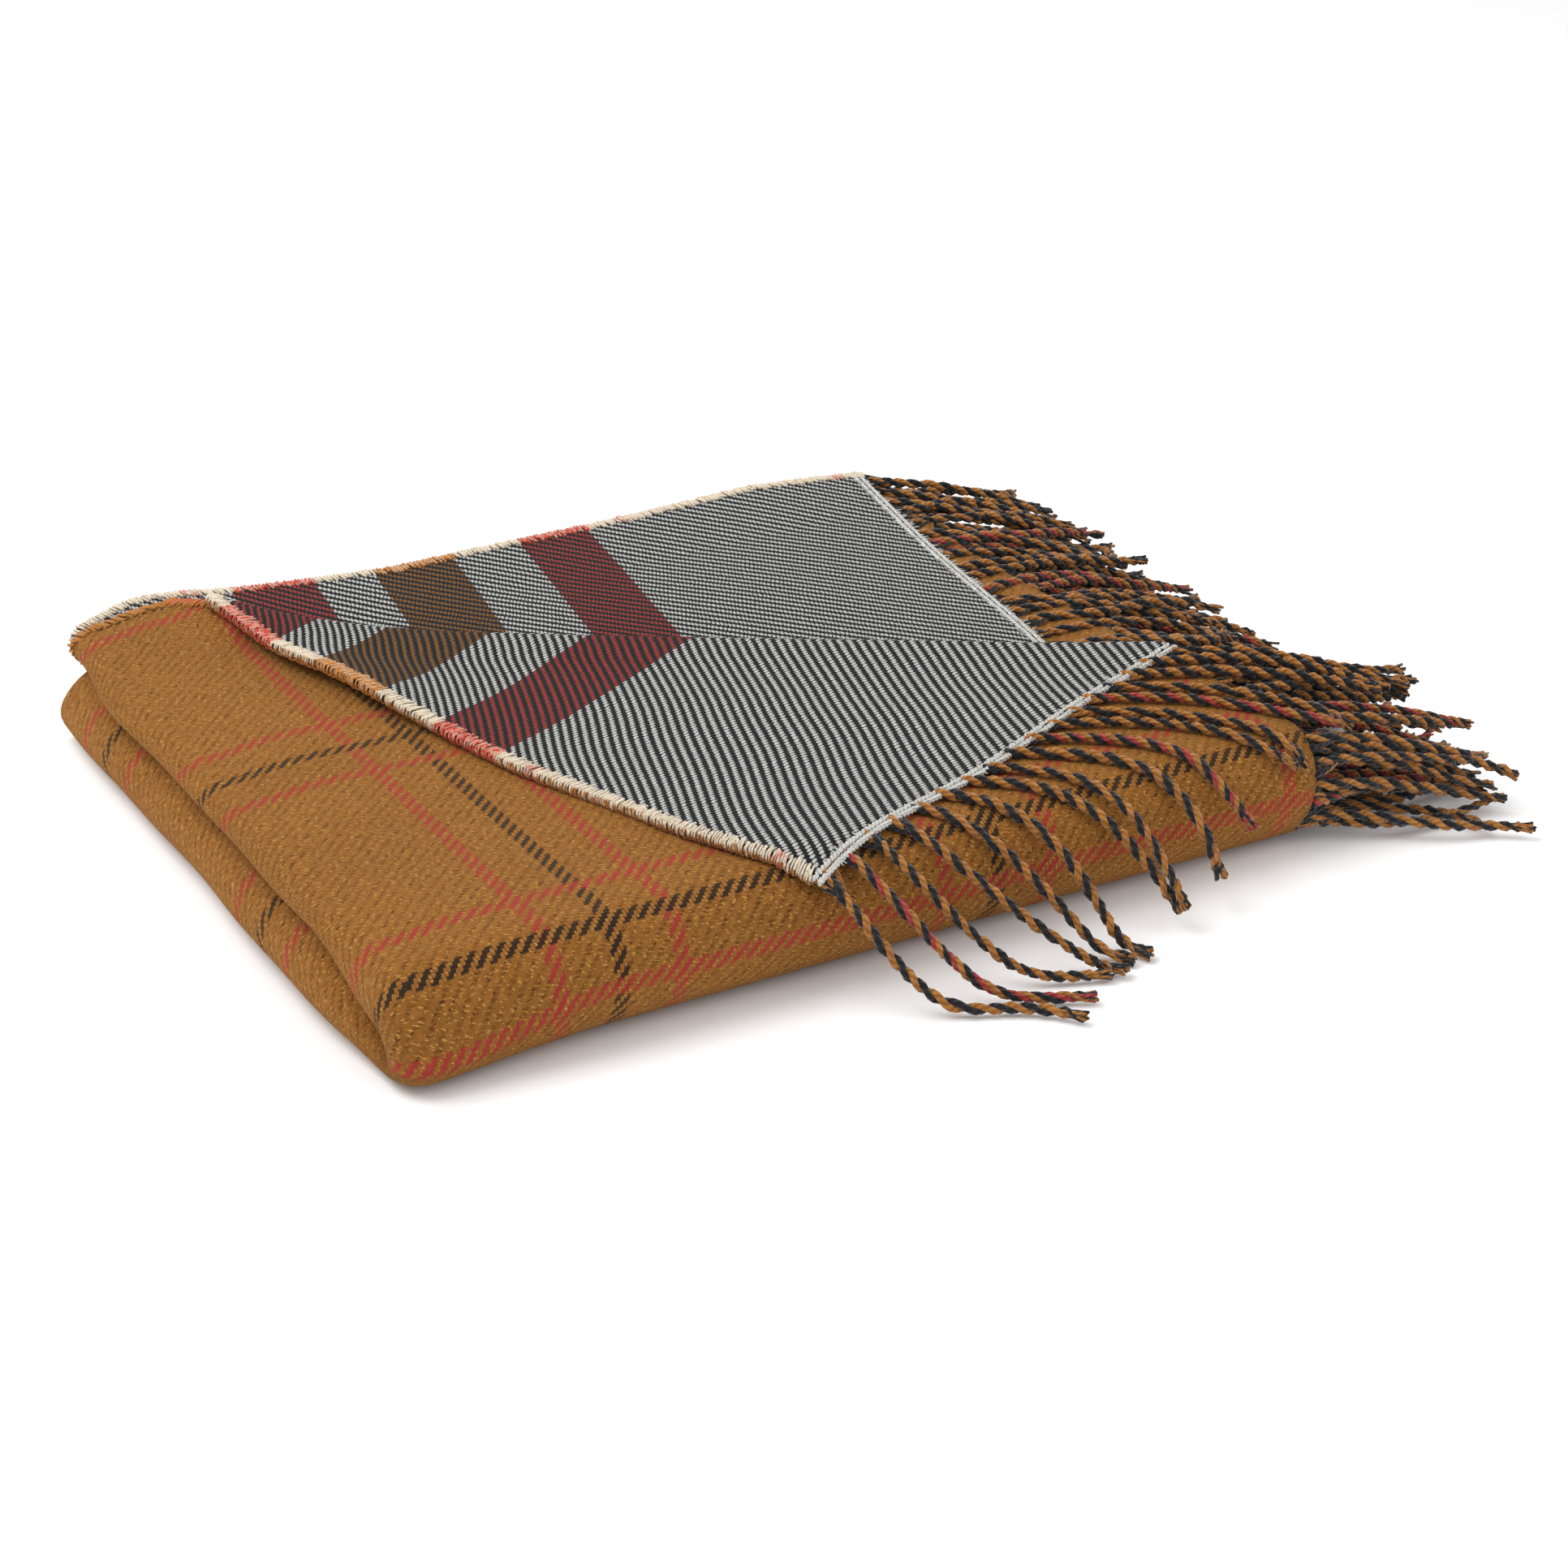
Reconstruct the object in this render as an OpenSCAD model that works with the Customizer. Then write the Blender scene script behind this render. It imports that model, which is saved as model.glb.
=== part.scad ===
// Folded throw blanket: one double-faced cloth folded to sixteen layers, with a turned-back corner and fringes.
// X runs from the left fold to the fringed side, Y from the front fold to the back, Z up.
// The origin is on the resting surface, under the middle of the folded pack.

/* [Throw] */
// Width of the cloth between its selvedges
throw_w = 1400; // [1300:10:1500]
// Length of the cloth between its fringes
throw_l = 1560; // [1450:10:1650]
// Thickness of one layer of cloth with its nap, as it lies in the pack
layer_t = 2.9; // [2.5:0.1:3.2]
// Width of a serged selvedge
selvedge_w = 5; // [4:0.5:7]

/* [Fringe] */
// Length of a twisted tassel
tassel_l = 112; // [90:1:120]
// Thickness of a twisted tassel
tassel_d = 4.6; // [4:0.1:5]
// Distance between tassels along the fringe
tassel_pitch = 14; // [13:0.5:18]
// Angle at which the upper rows of tassels hang
tassel_droop = 8; // [4:1:10]

/* [Turned-back corner] */
// Where the crease starts at the selvedge, from left to right
crease_back_x = -122; // [-130:1:-110]
// Where the crease starts at the selvedge, from front to back
crease_back_y = 130; // [120:1:145]
// Where the crease leaves the fringed side, from front to back
crease_side_y = -70; // [-80:1:-60]
// The turned-back corner's place from left to right
corner_x = -30; // [-40:1:-20]
// The turned-back corner's place from front to back
corner_y = -172; // [-174:1:-165]
// How far the turned-back selvedge bows out to the left
flap_bow = 21; // [10:1:25]

/* [Second layer] */
// How far the second layer's fringed edge slants in from the fringed side
slant_in = 30; // [15:1:35]

/* [Hidden] */
LAYERS = 8;
pack_w = throw_w / 4;
pack_l = throw_l / 4;
body_gap = 0.4;
stack = LAYERS * layer_t;
left_x = -pack_l / 2;
right_x = pack_l / 2;
back_y = pack_w / 2;
mid_z = stack + body_gap / 2;
roll_y = -pack_w / 2 + mid_z;
top_z = mid_z + body_gap / 2 + stack;
side_r = stack / 2;
leaf_left_x = left_x + side_r;
mid_fold_r = 2 * layer_t;
leaf_folded_x = right_x - mid_fold_r;
upper_back_y = back_y - selvedge_w;
lower_back_y = back_y - layer_t;
flap_z = top_z + body_gap;
crease_r = (flap_z + 2 * layer_t - top_z) / 2;
bow_steps = 12;
serging_inset = 0.2;
crease_gap = 0.28;
row_gap = 0.1;
row_inset = 2;
root_drop = 1.4;
straight_tassel_l = tassel_l - 10;
front_tassel_l = tassel_l - 20;
fan_half_angle = 60;
fan_step = 30;

ochre = [0.66, 0.43, 0.16];
grey = [0.55, 0.55, 0.54];
cream = [0.86, 0.80, 0.68];
fringe_brown = [0.36, 0.24, 0.10];

// Height of the underside of a layer: layer 1 is outermost in each half of the pack, layer 8 innermost.
function upper_z(i) = mid_z + body_gap / 2 + (LAYERS - i) * layer_t;
function lower_z(i) = (i - 1) * layer_t;

// Right-hand end of a leaf: layers 1 to 4 end in a fringe, the others in a fold inside the pack.
function leaf_right_x(i) = i <= 4 ? right_x : leaf_folded_x;

// The turned-back corner takes layer 1 away behind the crease, and layer 2 shows there.
crease_run = [right_x - crease_back_x, crease_side_y - crease_back_y];
crease_l = norm(crease_run);
crease_dir = crease_run / crease_l;
crease_turn = atan2(crease_dir[1], crease_dir[0]);
slant_end_y = crease_side_y + 10;

module slab(x0, y0, z0, x1, y1, z1) {
    translate([x0, y0, z0]) cube([x1 - x0, y1 - y0, z1 - z0]);
}

// Layer 1 of the upper half, seen from above, stops at the crease.
module first_leaf_outline() {
    polygon([
        [leaf_left_x, roll_y + body_gap],
        [right_x, roll_y + body_gap],
        [right_x, crease_side_y],
        [crease_back_x, crease_back_y],
        [crease_back_x, upper_back_y],
        [leaf_left_x, upper_back_y]
    ]);
}

// Layer 2 of the upper half has a slanting fringed edge where it shows.
module second_leaf_outline() {
    polygon([
        [leaf_left_x, roll_y + body_gap],
        [right_x, roll_y + body_gap],
        [right_x, slant_end_y],
        [right_x - slant_in, slant_end_y],
        [right_x, upper_back_y],
        [leaf_left_x, upper_back_y]
    ]);
}

module upper_leaf(i) {
    color(i % 2 == 1 ? ochre : grey)
    if (i == 1)
        translate([0, 0, upper_z(1)]) linear_extrude(layer_t) first_leaf_outline();
    else if (i == 2)
        translate([0, 0, upper_z(2)]) linear_extrude(layer_t) second_leaf_outline();
    else
        slab(leaf_left_x, roll_y + body_gap, upper_z(i), leaf_right_x(i), upper_back_y, upper_z(i) + layer_t);
}

module lower_leaf(i) {
    color(i % 2 == 1 ? ochre : grey)
    slab(leaf_left_x, roll_y, lower_z(i), leaf_right_x(i), lower_back_y, lower_z(i) + layer_t);
}

// Half of a ring in the plane, open towards +X, from radius r0 to r1.
module half_ring(r0, r1) {
    difference() {
        circle(r = r1, $fn = 64);
        if (r0 > 0) circle(r = r0, $fn = 64);
        translate([0, -2 * r1]) square([2 * r1, 4 * r1]);
    }
}

// A fold along Y that closes towards -X when side is 1, and towards +X when side is -1.
module fold_along_y(x, z, r0, r1, y0, y1, side) {
    translate([x, y1, z])
    rotate([90, 0, 0])
    linear_extrude(y1 - y0)
    mirror([side < 0 ? 1 : 0, 0]) half_ring(r0, r1);
}

// A fold along X that closes towards -Y when side is 1, and towards +Y when side is -1.
module fold_along_x(y, z, r0, r1, x0, x1, side) {
    translate([x0, y, z])
    rotate([90, 0, 90])
    linear_extrude(x1 - x0)
    mirror([side < 0 ? 1 : 0, 0]) half_ring(r0, r1);
}

module front_fold(i) {
    inner = body_gap / 2 + (LAYERS - i) * layer_t;
    color(ochre) fold_along_x(roll_y, mid_z, inner, inner + layer_t, leaf_left_x, leaf_right_x(i), 1);
}

module left_fold(k, z0, y0, y1) {
    color(ochre) fold_along_y(leaf_left_x, z0 + side_r, side_r - k * layer_t, side_r - (k - 1) * layer_t, y0, y1, 1);
}

module upper_left_fold(k) {
    left_fold(k, mid_z + body_gap / 2, roll_y + body_gap, upper_back_y);
}

module lower_left_fold(k) {
    left_fold(k, 0, roll_y, lower_back_y);
}

// The fold inside the pack that joins layers 5 and 8, with the one of layers 6 and 7 inside it.
module mid_fold(k, z, y0, y1) {
    color(ochre)
    fold_along_y(leaf_folded_x, z, mid_fold_r - k * layer_t, mid_fold_r - (k - 1) * layer_t, y0, y1, -1);
}

module upper_mid_fold(k) {
    mid_fold(k, upper_z(6), roll_y + body_gap, upper_back_y);
}

module lower_mid_fold(k) {
    mid_fold(k, lower_z(7), roll_y, lower_back_y);
}

// The first fold of the cloth joins layers 1 and 2, 3 and 4, and so on at the back of the lower half.
module back_fold(k) {
    color(ochre)
    fold_along_x(lower_back_y, (2 * k - 1) * layer_t, 0, layer_t, leaf_left_x, leaf_right_x(2 * k), -1);
}

// The rounded left end of the front fold: the left folds turned about the middle of the front fold.
module front_left_corner() {
    color(ochre)
    translate([leaf_left_x, roll_y, mid_z])
    rotate([90, 0, 90])
    rotate([0, 0, 90])
    rotate_extrude(angle = 180, $fn = 96)
    translate([body_gap / 2 + side_r, 0])
    rotate([0, 0, 90])
    half_ring(0, side_r);
}

module front_right_corner() {
    color(ochre)
    translate([leaf_folded_x, roll_y, mid_z])
    rotate([90, 0, 90])
    rotate([0, 0, 90])
    rotate_extrude(angle = 180, $fn = 96)
    translate([body_gap / 2 + mid_fold_r, 0])
    rotate([0, 0, -90])
    half_ring(0, mid_fold_r);
}

// The serged edges of two neighbouring layers, at the back of the upper half.
module selvedge(k) {
    color(cream)
    for (i = [2 * k - 1, 2 * k])
        slab(leaf_left_x, upper_back_y, upper_z(i) + serging_inset,
             i == 1 ? crease_back_x : leaf_right_x(i), back_y, upper_z(i) + layer_t - serging_inset);
}

// A row of straight tassels along the fringed side. Neighbouring rows are staggered by half a pitch.
// slant is how far the row's roots move to the left for each millimetre towards the front.
module tassel_row(i, z, droop, y0, y1, d = tassel_d, slant = 0) {
    stagger = i % 2 == 1 ? 0.25 : 0.75;
    count = floor((y1 - y0) / tassel_pitch - stagger);
    clear_of_leaf = d / 2 * (sin(droop) + slant);
    color(fringe_brown)
    for (k = [0 : count]) {
        y = y0 + (k + stagger) * tassel_pitch;
        translate([right_x - slant * (y1 - y) + clear_of_leaf, y, z])
        rotate([0, 90 + droop, 0])
        cylinder(d = d, h = straight_tassel_l, $fn = 8);
    }
}

// Behind the crease the tassels of layer 2 lie pressed flat on layer 3, below the top of layer 2.
module upper_fringe(i) {
    first_y = roll_y + row_inset;
    z = upper_z(i) + layer_t / 2 - root_drop;
    pressed_d = layer_t - 2 * row_gap;
    slant = slant_in / (upper_back_y - slant_end_y);
    if (i == 1)
        tassel_row(i, z, tassel_droop, first_y, crease_side_y - crease_r);
    else if (i == 2) {
        tassel_row(i, z, tassel_droop, first_y, slant_end_y - tassel_d);
        tassel_row(i, upper_z(2) + layer_t / 2, 0, slant_end_y, upper_back_y, pressed_d, slant);
    }
    else
        tassel_row(i, z, tassel_droop, first_y, upper_back_y - row_inset);
}

module lower_fringe(i) {
    tassel_row(i, lower_z(i) + tassel_d / 2 + row_gap, 0, roll_y + row_inset, lower_back_y - row_inset);
}

// Tassels of the outer layers where they go around the front fold.
module front_fringe() {
    color(fringe_brown)
    for (i = [1, 3])
        for (turn = [-fan_half_angle : fan_step : fan_half_angle])
            translate([right_x, roll_y, mid_z])
            rotate([turn, 0, 0])
            translate([0, -(stack - (i - 0.5) * layer_t), 0])
            rotate([0, 90, 0])
            cylinder(d = tassel_d, h = front_tassel_l, $fn = 8);
}

// The soft roll at the crease, where layer 1 turns back over itself.
module crease_roll() {
    color(ochre)
    translate([crease_back_x, crease_back_y, upper_z(1) + crease_r])
    rotate([0, 0, crease_turn])
    intersection() {
        rotate([90, 0, 90]) cylinder(r = crease_r, h = crease_l, $fn = 48);
        slab(0, body_gap / 2, -crease_r, crease_l, crease_r, crease_r);
    }
}

// The turned-back corner of layer 1, with its underside up. Its selvedge bows out to the left.
module corner_flap() {
    inset = crease_gap * [crease_dir[1], -crease_dir[0]];
    start = [crease_back_x, crease_back_y] + inset;
    corner = [corner_x, corner_y];
    bow_dir = [corner[1] - start[1], start[0] - corner[0]] / norm(corner - start);
    color(grey)
    translate([0, 0, flap_z])
    linear_extrude(layer_t)
    polygon(concat(
        [for (k = [0 : bow_steps])
            let (f = k / bow_steps)
            start + (corner - start) * f + bow_dir * flap_bow * sin(180 * sqrt(f))],
        [[right_x, crease_side_y] + inset]
    ));
}

// Directions along the flap's fringed edge and along its tassels, seen from above.
flap_edge = [right_x - corner_x, crease_side_y - corner_y];
flap_edge_l = norm(flap_edge);
edge_dir = flap_edge / flap_edge_l;
tassel_dir = [edge_dir[1], -edge_dir[0]];

// A flap tassel lies level on the pack and curves down past the front fold. droop_per_mm is how fast.
droop_per_mm = 0.0042;
tassel_step = 14;
tassel_steps = floor(tassel_l / tassel_step);
tassel_z = top_z + body_gap + tassel_d / 2;
lowest_z = tassel_d / 2 + row_gap;
function past_front(p) = max(0, roll_y - p[1]);
function drape(p) = [p[0], p[1], max(lowest_z, tassel_z - droop_per_mm * pow(past_front(p), 2))];
function slope_at(p) = atan(2 * droop_per_mm * past_front(p));
function tassel_point(root, k) =
    k == 0 ? root : let (p = tassel_point(root, k - 1)) p + tassel_dir * tassel_step * cos(slope_at(p));

// A round bar through a list of points, with a six-sided section square to the tassels' heading.
module bar(points, r) {
    sides = 6;
    n = len(points);
    across = [-tassel_dir[1], tassel_dir[0], 0];
    ring = [
        for (k = [0 : n - 1], a = [0 : sides - 1])
            let (
                ahead = points[min(k + 1, n - 1)] - points[max(k - 1, 0)],
                up = cross(across, ahead / norm(ahead))
            )
            points[k] + r * (cos(360 * a / sides) * across - sin(360 * a / sides) * up)
    ];
    polyhedron(
        points = ring,
        faces = concat(
            [[for (a = [0 : sides - 1]) a]],
            [[for (a = [sides - 1 : -1 : 0]) (n - 1) * sides + a]],
            [for (k = [0 : n - 2], a = [0 : sides - 1])
                let (b = (a + 1) % sides)
                [k * sides + a, (k + 1) * sides + a, (k + 1) * sides + b, k * sides + b]]
        )
    );
}

module flap_fringe() {
    count = floor(flap_edge_l / tassel_pitch);
    color(fringe_brown)
    for (k = [0 : count - 1]) {
        start = [corner_x, corner_y] + edge_dir * (k + 0.5) * tassel_pitch + tassel_dir * tassel_d / 2;
        bar([for (j = [0 : tassel_steps]) drape(tassel_point(start, j))], tassel_d / 2);
    }
}

upper_leaf(1);  // upper_leaf_1
upper_leaf(2);  // upper_leaf_2
upper_leaf(3);  // upper_leaf_3
upper_leaf(4);  // upper_leaf_4
upper_leaf(5);  // upper_leaf_5
upper_leaf(6);  // upper_leaf_6
upper_leaf(7);  // upper_leaf_7
upper_leaf(8);  // upper_leaf_8
lower_leaf(1);  // lower_leaf_1
lower_leaf(2);  // lower_leaf_2
lower_leaf(3);  // lower_leaf_3
lower_leaf(4);  // lower_leaf_4
lower_leaf(5);  // lower_leaf_5
lower_leaf(6);  // lower_leaf_6
lower_leaf(7);  // lower_leaf_7
lower_leaf(8);  // lower_leaf_8
front_fold(1);  // front_fold_1
front_fold(2);  // front_fold_2
front_fold(3);  // front_fold_3
front_fold(4);  // front_fold_4
front_fold(5);  // front_fold_5
front_fold(6);  // front_fold_6
front_fold(7);  // front_fold_7
front_fold(8);  // front_fold_8
upper_left_fold(1);  // upper_left_fold_1
upper_left_fold(2);  // upper_left_fold_2
upper_left_fold(3);  // upper_left_fold_3
upper_left_fold(4);  // upper_left_fold_4
lower_left_fold(1);  // lower_left_fold_1
lower_left_fold(2);  // lower_left_fold_2
lower_left_fold(3);  // lower_left_fold_3
lower_left_fold(4);  // lower_left_fold_4
upper_mid_fold(1);  // upper_mid_fold_1
upper_mid_fold(2);  // upper_mid_fold_2
lower_mid_fold(1);  // lower_mid_fold_1
lower_mid_fold(2);  // lower_mid_fold_2
back_fold(1);  // back_fold_1
back_fold(2);  // back_fold_2
back_fold(3);  // back_fold_3
back_fold(4);  // back_fold_4
front_left_corner();
front_right_corner();
selvedge(1);  // selvedge_1
selvedge(2);  // selvedge_2
selvedge(3);  // selvedge_3
selvedge(4);  // selvedge_4
upper_fringe(1);  // upper_fringe_1
upper_fringe(2);  // upper_fringe_2
upper_fringe(3);  // upper_fringe_3
upper_fringe(4);  // upper_fringe_4
lower_fringe(1);  // lower_fringe_1
lower_fringe(2);  // lower_fringe_2
lower_fringe(3);  // lower_fringe_3
lower_fringe(4);  // lower_fringe_4
front_fringe();
crease_roll();
corner_flap();
flap_fringe();
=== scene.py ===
"""Folded throw blanket: cloth, turned-back corner, serging and twisted fringes round the CAD frame."""
import math

import bpy
import numpy as np
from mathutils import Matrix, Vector


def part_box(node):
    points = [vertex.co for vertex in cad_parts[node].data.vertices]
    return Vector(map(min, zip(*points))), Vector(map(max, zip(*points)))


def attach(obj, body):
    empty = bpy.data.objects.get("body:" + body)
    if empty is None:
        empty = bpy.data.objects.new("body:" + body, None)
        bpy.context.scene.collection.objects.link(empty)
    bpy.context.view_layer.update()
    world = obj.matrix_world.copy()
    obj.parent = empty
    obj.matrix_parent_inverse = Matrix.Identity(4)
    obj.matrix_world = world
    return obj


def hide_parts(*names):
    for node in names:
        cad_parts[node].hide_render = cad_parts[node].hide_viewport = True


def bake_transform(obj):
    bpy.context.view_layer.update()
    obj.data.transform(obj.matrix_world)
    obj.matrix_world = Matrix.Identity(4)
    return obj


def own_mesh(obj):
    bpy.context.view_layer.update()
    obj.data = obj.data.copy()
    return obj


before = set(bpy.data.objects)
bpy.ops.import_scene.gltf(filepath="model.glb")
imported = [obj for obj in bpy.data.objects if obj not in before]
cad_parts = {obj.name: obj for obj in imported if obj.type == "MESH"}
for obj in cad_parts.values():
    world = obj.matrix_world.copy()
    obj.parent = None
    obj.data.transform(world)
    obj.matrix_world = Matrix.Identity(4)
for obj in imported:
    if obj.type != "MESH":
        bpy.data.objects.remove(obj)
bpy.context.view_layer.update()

# All shapes are worked out in millimetres and turned into metres when a mesh is made.
MM = 0.001
PER_METRE = 1000.0
rng = np.random.default_rng(11)

# ---- Sizes taken from the CAD frame ----


def box_mm(node):
    """Lowest and highest corner of a CAD node, in millimetres."""
    low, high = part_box(node)
    return np.array(low) / MM, np.array(high) / MM


bottom_low, bottom_high = box_mm("lower_leaf_1")
LAYER = bottom_high[2] - bottom_low[2]
ROLL_Y = bottom_low[1]
FOLD_X = bottom_low[0]
LOWER_BACK = bottom_high[1]
TOP = box_mm("upper_leaf_1")[1][2]
MID_Z = TOP / 2
BACK = box_mm("selvedge_1")[1][1]
TURN_X = box_mm("lower_leaf_8")[1][0]

# Half the gap between the pack's two halves, the cloth's thickness, the lowest place of any point,
# and how far the UV runs once round a yarn.
HALF_GAP = 0.2
CLOTH_T = 2.3
FLOOR_GAP = 0.1
TURN_UV = 10.0

# The crease of the turned-back corner, from its start at the selvedge to the fringed side.
CREASE_START = np.array([-122.0, 130.0])
CREASE_DIR = np.array([0.845742, -0.533591])
CREASE_OUT = np.array([0.533591, 0.845742])

# The cloth as woven: distances from the fringed edge and from the selvedge.
FLAT_L = 385.0
TASSEL_L = 105.0
TASSEL_PITCH = 14.0


def smooth(t):
    """0 below 0, 1 above 1, and an even S between them."""
    t = np.clip(t, 0.0, 1.0)
    return t * t * (3 - 2 * t)


def layer_n(i):
    """Height of the middle of layer i above the middle of the pack."""
    return (8 - i) * LAYER + LAYER / 2


def unit(v):
    """Vectors scaled to length 1."""
    return v / np.maximum(np.linalg.norm(v, axis=-1, keepdims=True), 1e-9)


def run_length(line):
    """The length along a line of points at each of them."""
    return np.r_[0, np.cumsum(np.linalg.norm(np.diff(line, axis=0), axis=1))]


def spline(points, t):
    """A smooth curve through a few points, t from 0 to 1 along their chord length."""
    points = np.asarray(points, float)
    chord = run_length(points)
    chord /= chord[-1]
    slope = np.gradient(points, chord, axis=0)
    t = np.clip(np.asarray(t, float), 0, 1)
    k = np.clip(np.searchsorted(chord, t, side="right") - 1, 0, len(chord) - 2)
    h = (chord[k + 1] - chord[k])[..., None]
    s = (t[..., None] - chord[k][..., None]) / h
    a = (1 + 2 * s) * (1 - s) ** 2 * points[k]
    b = s * (1 - s) ** 2 * h * slope[k]
    c = s * s * (3 - 2 * s) * points[k + 1]
    d = s * s * (s - 1) * h * slope[k + 1]
    return a + b + c + d


# ---- How the pack settles: small smooth moves that every piece shares, so that nothing crosses ----


def from_crease(x, y):
    """Distance of a place from the line of the crease, seen from above."""
    return (x - CREASE_START[0]) * CREASE_OUT[0] + (y - CREASE_START[1]) * CREASE_OUT[1]


# Where a move begins, and how far it takes to grow, towards the left folds and the front fold.
LEFT_FROM, LEFT_SPAN = -105.0, 80.0
EDGE_FROM, EDGE_SPAN = -150.0, 40.0
FRONT_FROM, FRONT_SPAN = -95.0, 66.0
# The split between the pack's halves lifts at the left and drops towards the front.
GAP_LIFT, GAP_DROP = 6.0, 20.0
# The lower half's left folds bulge out, less so at the front; the upper half's draw in at the back.
LOW_FROM, LOW_SPAN = 8.0, 26.0
BULGE, FRONT_BULGE = -4.5, 6.0
BACK_PULL = 5.0
# Near the crease the top has no waves. Its back left edge is raised, and its left folds droop.
CALM_HALF, CALM_SPAN = 8.0, 60.0
RAISE, DROOP = 3.0, -3.2


def settle(p):
    """The pack as it lies: soft side folds, a wavy top, a raised back left edge."""
    x, y, z = p[..., 0], p[..., 1], p[..., 2]
    side = smooth((LEFT_FROM - x) / LEFT_SPAN)
    front = smooth((FRONT_FROM - y) / FRONT_SPAN)
    gap_z = MID_Z + side * (GAP_LIFT - GAP_DROP * front)
    lower = z * gap_z / MID_Z
    upper = gap_z + (z - MID_Z) * (TOP - gap_z) / (TOP - MID_Z)
    moved_z = np.where(z < MID_Z, lower, upper)
    share = np.clip(moved_z / TOP, 0, 1.1)
    low = 1 - smooth((moved_z - LOW_FROM) / LOW_SPAN)
    edge = smooth((EDGE_FROM - x) / EDGE_SPAN)
    moved_x = x + edge * low * (BULGE + FRONT_BULGE * front)
    moved_x = moved_x + 0.7 * edge * np.sin(y / 31 + 0.7) + 0.35 * edge * np.sin(y / 14 + z / 9)
    moved_x = moved_x + BACK_PULL * edge * (1 - low) * smooth((y - 110) / 60)
    moved_y = y + 1.2 * smooth((-130 - y) / 30) * np.sin(x / 47 + 0.4) * share
    calm = smooth((np.abs(from_crease(x, y)) - CALM_HALF) / CALM_SPAN)
    waves = 0.65 * np.sin(x / 58 + 1.0) * np.sin(y / 49 + 0.6) + 0.35 * np.sin(x / 31 - y / 43)
    raised = RAISE * np.exp(-(((x + 158) / 40) ** 2)) * smooth((y - 118) / 55)
    drooped = DROOP * smooth((EDGE_FROM - x) / 36) * smooth((z - 30) / 12)
    moved_z = moved_z + share * (waves * calm + raised + drooped)
    return np.stack([moved_x, moved_y, np.maximum(moved_z, 0.0)], axis=-1)


# ---- Meshes ----


def new_object(name, points, faces, uv, slots, materials):
    """A smooth mesh object from points in millimetres, four-sided faces and one UV per point."""
    points[:, 2] = np.maximum(points[:, 2], FLOOR_GAP)
    mesh = bpy.data.meshes.new(name)
    mesh.from_pydata((points * MM).tolist(), [], faces.tolist())
    layer = mesh.uv_layers.new(name="cloth")
    layer.data.foreach_set("uv", (uv * MM)[faces.ravel()].astype(np.float32).ravel())
    mesh.polygons.foreach_set("material_index", np.asarray(slots, np.int32))
    mesh.polygons.foreach_set("use_smooth", np.ones(len(faces), bool))
    for material in materials:
        mesh.materials.append(material)
    mesh.update()
    obj = bpy.data.objects.new(name, mesh)
    bpy.context.scene.collection.objects.link(obj)
    return obj


def grid_normals(grid):
    """Unit normals of a grid of points, on the cloth's ochre side."""
    along_u = np.gradient(grid, axis=1)
    along_v = np.gradient(grid, axis=0)
    return unit(np.cross(along_u, along_v))


def grid_faces(rows, cols, start=0, flip=False):
    """Faces of a grid of points numbered row by row."""
    i, j = np.meshgrid(np.arange(rows - 1), np.arange(cols - 1), indexing="ij")
    a = (start + i * cols + j).ravel()
    faces = np.stack([a, a + 1, a + cols + 1, a + cols], axis=1)
    return faces[:, ::-1] if flip else faces


def thick_cloth(name, grid, uv, ochre_uv=None):
    """A sheet with an ochre face, a grey face and a rim, from a grid of points on its middle.
    ochre_uv is the UV of the ochre face, where that isn't the grey face's."""
    rows, cols = grid.shape[:2]
    half = grid_normals(grid) * CLOTH_T / 2
    points = np.concatenate([(grid + half).reshape(-1, 3), (grid - half).reshape(-1, 3)])
    count = rows * cols
    rim = np.concatenate([
        np.arange(cols),
        np.arange(1, rows) * cols + cols - 1,
        (rows - 1) * cols + np.arange(cols - 2, -1, -1),
        np.arange(rows - 2, -1, -1) * cols,
    ])
    rim_faces = np.stack([rim[:-1], rim[:-1] + count, rim[1:] + count, rim[1:]], axis=1)
    faces = np.concatenate([grid_faces(rows, cols), grid_faces(rows, cols, count, True), rim_faces])
    per_face = (rows - 1) * (cols - 1)
    slots = np.repeat([0, 1, 2], [per_face, per_face, len(rim_faces)])
    ochre_uv = uv if ochre_uv is None else ochre_uv
    both_uv = np.concatenate([ochre_uv.reshape(-1, 2), uv.reshape(-1, 2)])
    return new_object(name, points, faces, both_uv, slots, CLOTH_MATERIALS)


# A tube closes to a small hole within this much of its end.
END_CAP, CLOSED = 0.25, 0.02


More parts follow.
